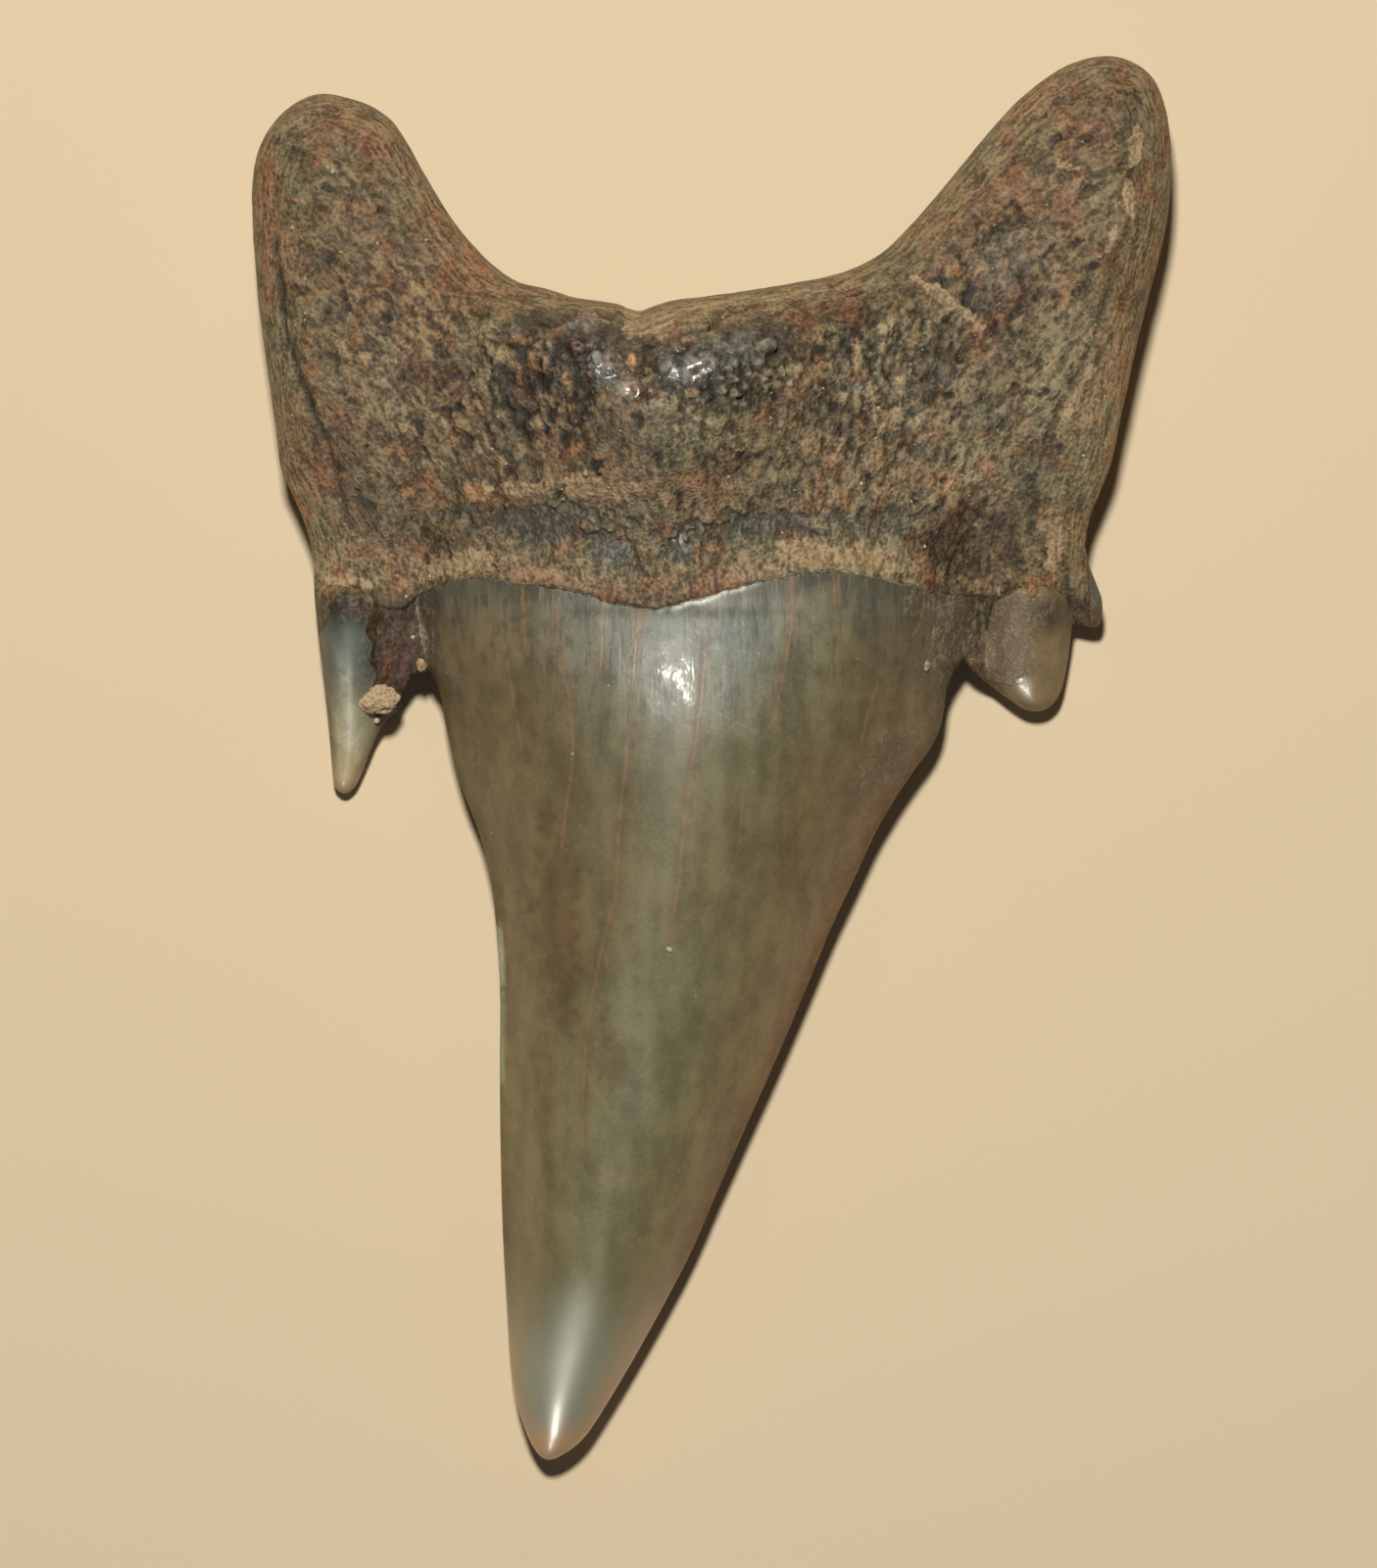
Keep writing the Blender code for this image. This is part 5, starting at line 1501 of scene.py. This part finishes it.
# %% Finish of the crumb
CRUMB_DARK = (0.30, 0.21, 0.12)
CRUMB_PALE = (0.53, 0.41, 0.25)

crumb_graph = Graph("crumb_sand")
crumb_grain = crumb_graph.noise(crumb_graph.place(), (9.0, 9.0, 9.0), 3.0, 0.6)
crumb.data.materials.append(crumb_graph.finish(
    Base_Color=crumb_graph.mixed(crumb_graph.spread(crumb_grain, 0.3, 0.6), CRUMB_DARK, CRUMB_PALE),
    Roughness=0.85,
    Normal=crumb_graph.bumped(crumb_grain, 0.035),
))
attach(crumb, "root")

# %% Single grains
GRAINS = [  # x, y, radius, colour
    (-8.66, 2.86, 0.2, (0.35, 0.245, 0.13)), (-10.05, 1.2, 0.1, (0.62, 0.56, 0.46)),
    (9.5, 5.05, 0.17, (0.26, 0.13, 0.06)), (-1.25, -5.6, 0.1, (0.55, 0.50, 0.38)),
    (6.4, 2.8, 0.12, (0.28, 0.22, 0.14)), (-4.1, 0.15, 0.06, (0.5, 0.45, 0.34)),
    (-8.9, 3.65, 0.06, (0.42, 0.36, 0.27)), (-9.1, 4.85, 0.05, (0.42, 0.34, 0.24)),
    (8.55, 5.0, 0.12, (0.3, 0.27, 0.2)), (-3.7, 8.35, 0.12, (0.4, 0.31, 0.19)),
]
GRAIN_COLOURS = [(0.42, 0.33, 0.2), (0.5, 0.44, 0.33), (0.26, 0.15, 0.08), (0.33, 0.27, 0.17)]
GRAIN_WAVES = [(1.1, 0.35), (0.5, 0.2)]
GRAIN_SEED = 4
LOOSE_GRAINS = 300
LOOSE_GRAIN_TRIES = 4000
LOOSE_GRAIN_INSET = 0.4
LOOSE_GRAIN_X = (-12.5, 12.5)
LOOSE_GRAIN_Y = (5.3, 19.5)
LEAST_LOOSE_RADIUS = 0.016
LOOSE_RADIUS_RANGE = 0.036
GRAIN_DIVISIONS = 3
LOOSE_GRAIN_DIVISIONS = 2
GRAIN_STRETCH = (0.75, 1.25)
GRAIN_SHADE = (0.8, 1.15)
GRAIN_LIFT = 0.1  # of its radius
GRAIN_SHIFT = 1.7

rng = np.random.default_rng(GRAIN_SEED)
spots = np.column_stack([rng.uniform(*span, LOOSE_GRAIN_TRIES) for span in (LOOSE_GRAIN_X, LOOSE_GRAIN_Y)])
spots = spots[inside(margin_loop, *spots.T)]
spots = spots[distance_to(margin_loop, *spots.T) > LOOSE_GRAIN_INSET][:LOOSE_GRAINS]
loose = []
for px, py in spots:
    radius = LEAST_LOOSE_RADIUS + LOOSE_RADIUS_RANGE * rng.random() ** 2
    loose.append((px, py, radius, GRAIN_COLOURS[rng.integers(len(GRAIN_COLOURS))]))
grain_points, grain_faces, grain_colours = [], [], []
for i, (px, py, radius, colour) in enumerate(GRAINS + loose):
    points, faces = ball(GRAIN_DIVISIONS if i < len(GRAINS) else LOOSE_GRAIN_DIVISIONS)
    stretch = rng.uniform(*GRAIN_STRETCH, 3) * radius
    points = roughened(points, GRAIN_WAVES, i * GRAIN_SHIFT) * stretch
    points = points + np.array((px, py, height_at(px, py) + GRAIN_LIFT * radius))
    grain_faces.append(faces + sum(len(p) for p in grain_points))
    grain_points.append(points)
    grain_colours.append(np.tile(np.array(colour) * rng.uniform(*GRAIN_SHADE), (len(points), 1)))
all_points = np.vstack(grain_points)
all_points[:, 2] = np.minimum(all_points[:, 2], high[2])
sand_grains = make_mesh("sand_grains", all_points, np.vstack(grain_faces))
keep(sand_grains.data, "FLOAT_COLOR", "color", {"tint": with_alpha(np.vstack(grain_colours))})
sand_graph = Graph("loose_sand")
sand_finish = sand_graph.finish(Base_Color=sand_graph.kept("tint", "Color"), Roughness=0.45)
sand_grains.data.materials.append(sand_finish)
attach(sand_grains, "root")
print("grains:", len(GRAINS) + len(loose), "with", len(sand_grains.data.polygons), "triangles")

# %% [markdown]
# ## Table and light
# The tooth lies on a plain pale table. The main light is a soft panel beside the camera,
# towards the root and a little to the left, so the shadows are short. Pale light from all
# round keeps the shadows open.

# %% Table
FLOOR_SIDE = 1.2
FLOOR_COLOUR = (0.73, 0.61, 0.43)
floor = bpy.data.objects.new("floor", bpy.data.meshes.new("floor"))
half = FLOOR_SIDE / 2
corners = [(-half, -half, 0), (half, -half, 0), (half, half, 0), (-half, half, 0)]
floor.data.from_pydata(corners, [], [(0, 1, 2, 3)])
bpy.context.scene.collection.objects.link(floor)
table = Graph("table_top")
floor.data.materials.append(table.finish(Base_Color=(*FLOOR_COLOUR, 1.0), Roughness=0.8))

# %% Lights
TARGET = Vector((-0.5, 0.0, 3.0)) * MM
LAMP_COLOUR = (1.0, 0.94, 0.84)
ROOM_COLOUR = (1.0, 0.9, 0.76, 1.0)
ROOM_STRENGTH = 0.035
KEY_FROM = (-0.045, 0.33, 1.0)
KEY_DISTANCE = 0.24
KEY_SIDES = (0.021, 0.021)
KEY_POWER = 0.58
TIP_FROM = (-0.6, -2.8, 1.0)
TIP_DISTANCE = 0.30
TIP_SIDES = (0.07, 0.05)
TIP_POWER = 0.65


def add_panel(name, direction, distance, sides, power):
    """A panel of light that faces the tooth from a direction."""
    lamp = bpy.data.objects.new(name, bpy.data.lights.new(name, "AREA"))
    lamp.data.shape = "RECTANGLE"
    lamp.data.size, lamp.data.size_y = sides
    lamp.data.energy = power
    lamp.data.color = LAMP_COLOUR
    lamp.location = TARGET + Vector(direction).normalized() * distance
    lamp.rotation_euler = (TARGET - lamp.location).to_track_quat("-Z", "Y").to_euler()
    bpy.context.scene.collection.objects.link(lamp)
    return lamp


add_panel("key_light", KEY_FROM, KEY_DISTANCE, KEY_SIDES, KEY_POWER)
tip_light = add_panel("tip_light", TIP_FROM, TIP_DISTANCE, TIP_SIDES, TIP_POWER)
tip_light.visible_diffuse = False  # it gives the tip its long highlight and lights nothing else
world = bpy.data.worlds.new("soft_room")
bpy.context.scene.world = world
world.use_nodes = True
world.node_tree.nodes["Background"].inputs["Color"].default_value = ROOM_COLOUR
world.node_tree.nodes["Background"].inputs["Strength"].default_value = ROOM_STRENGTH
bpy.context.scene.view_settings.view_transform = "Standard"
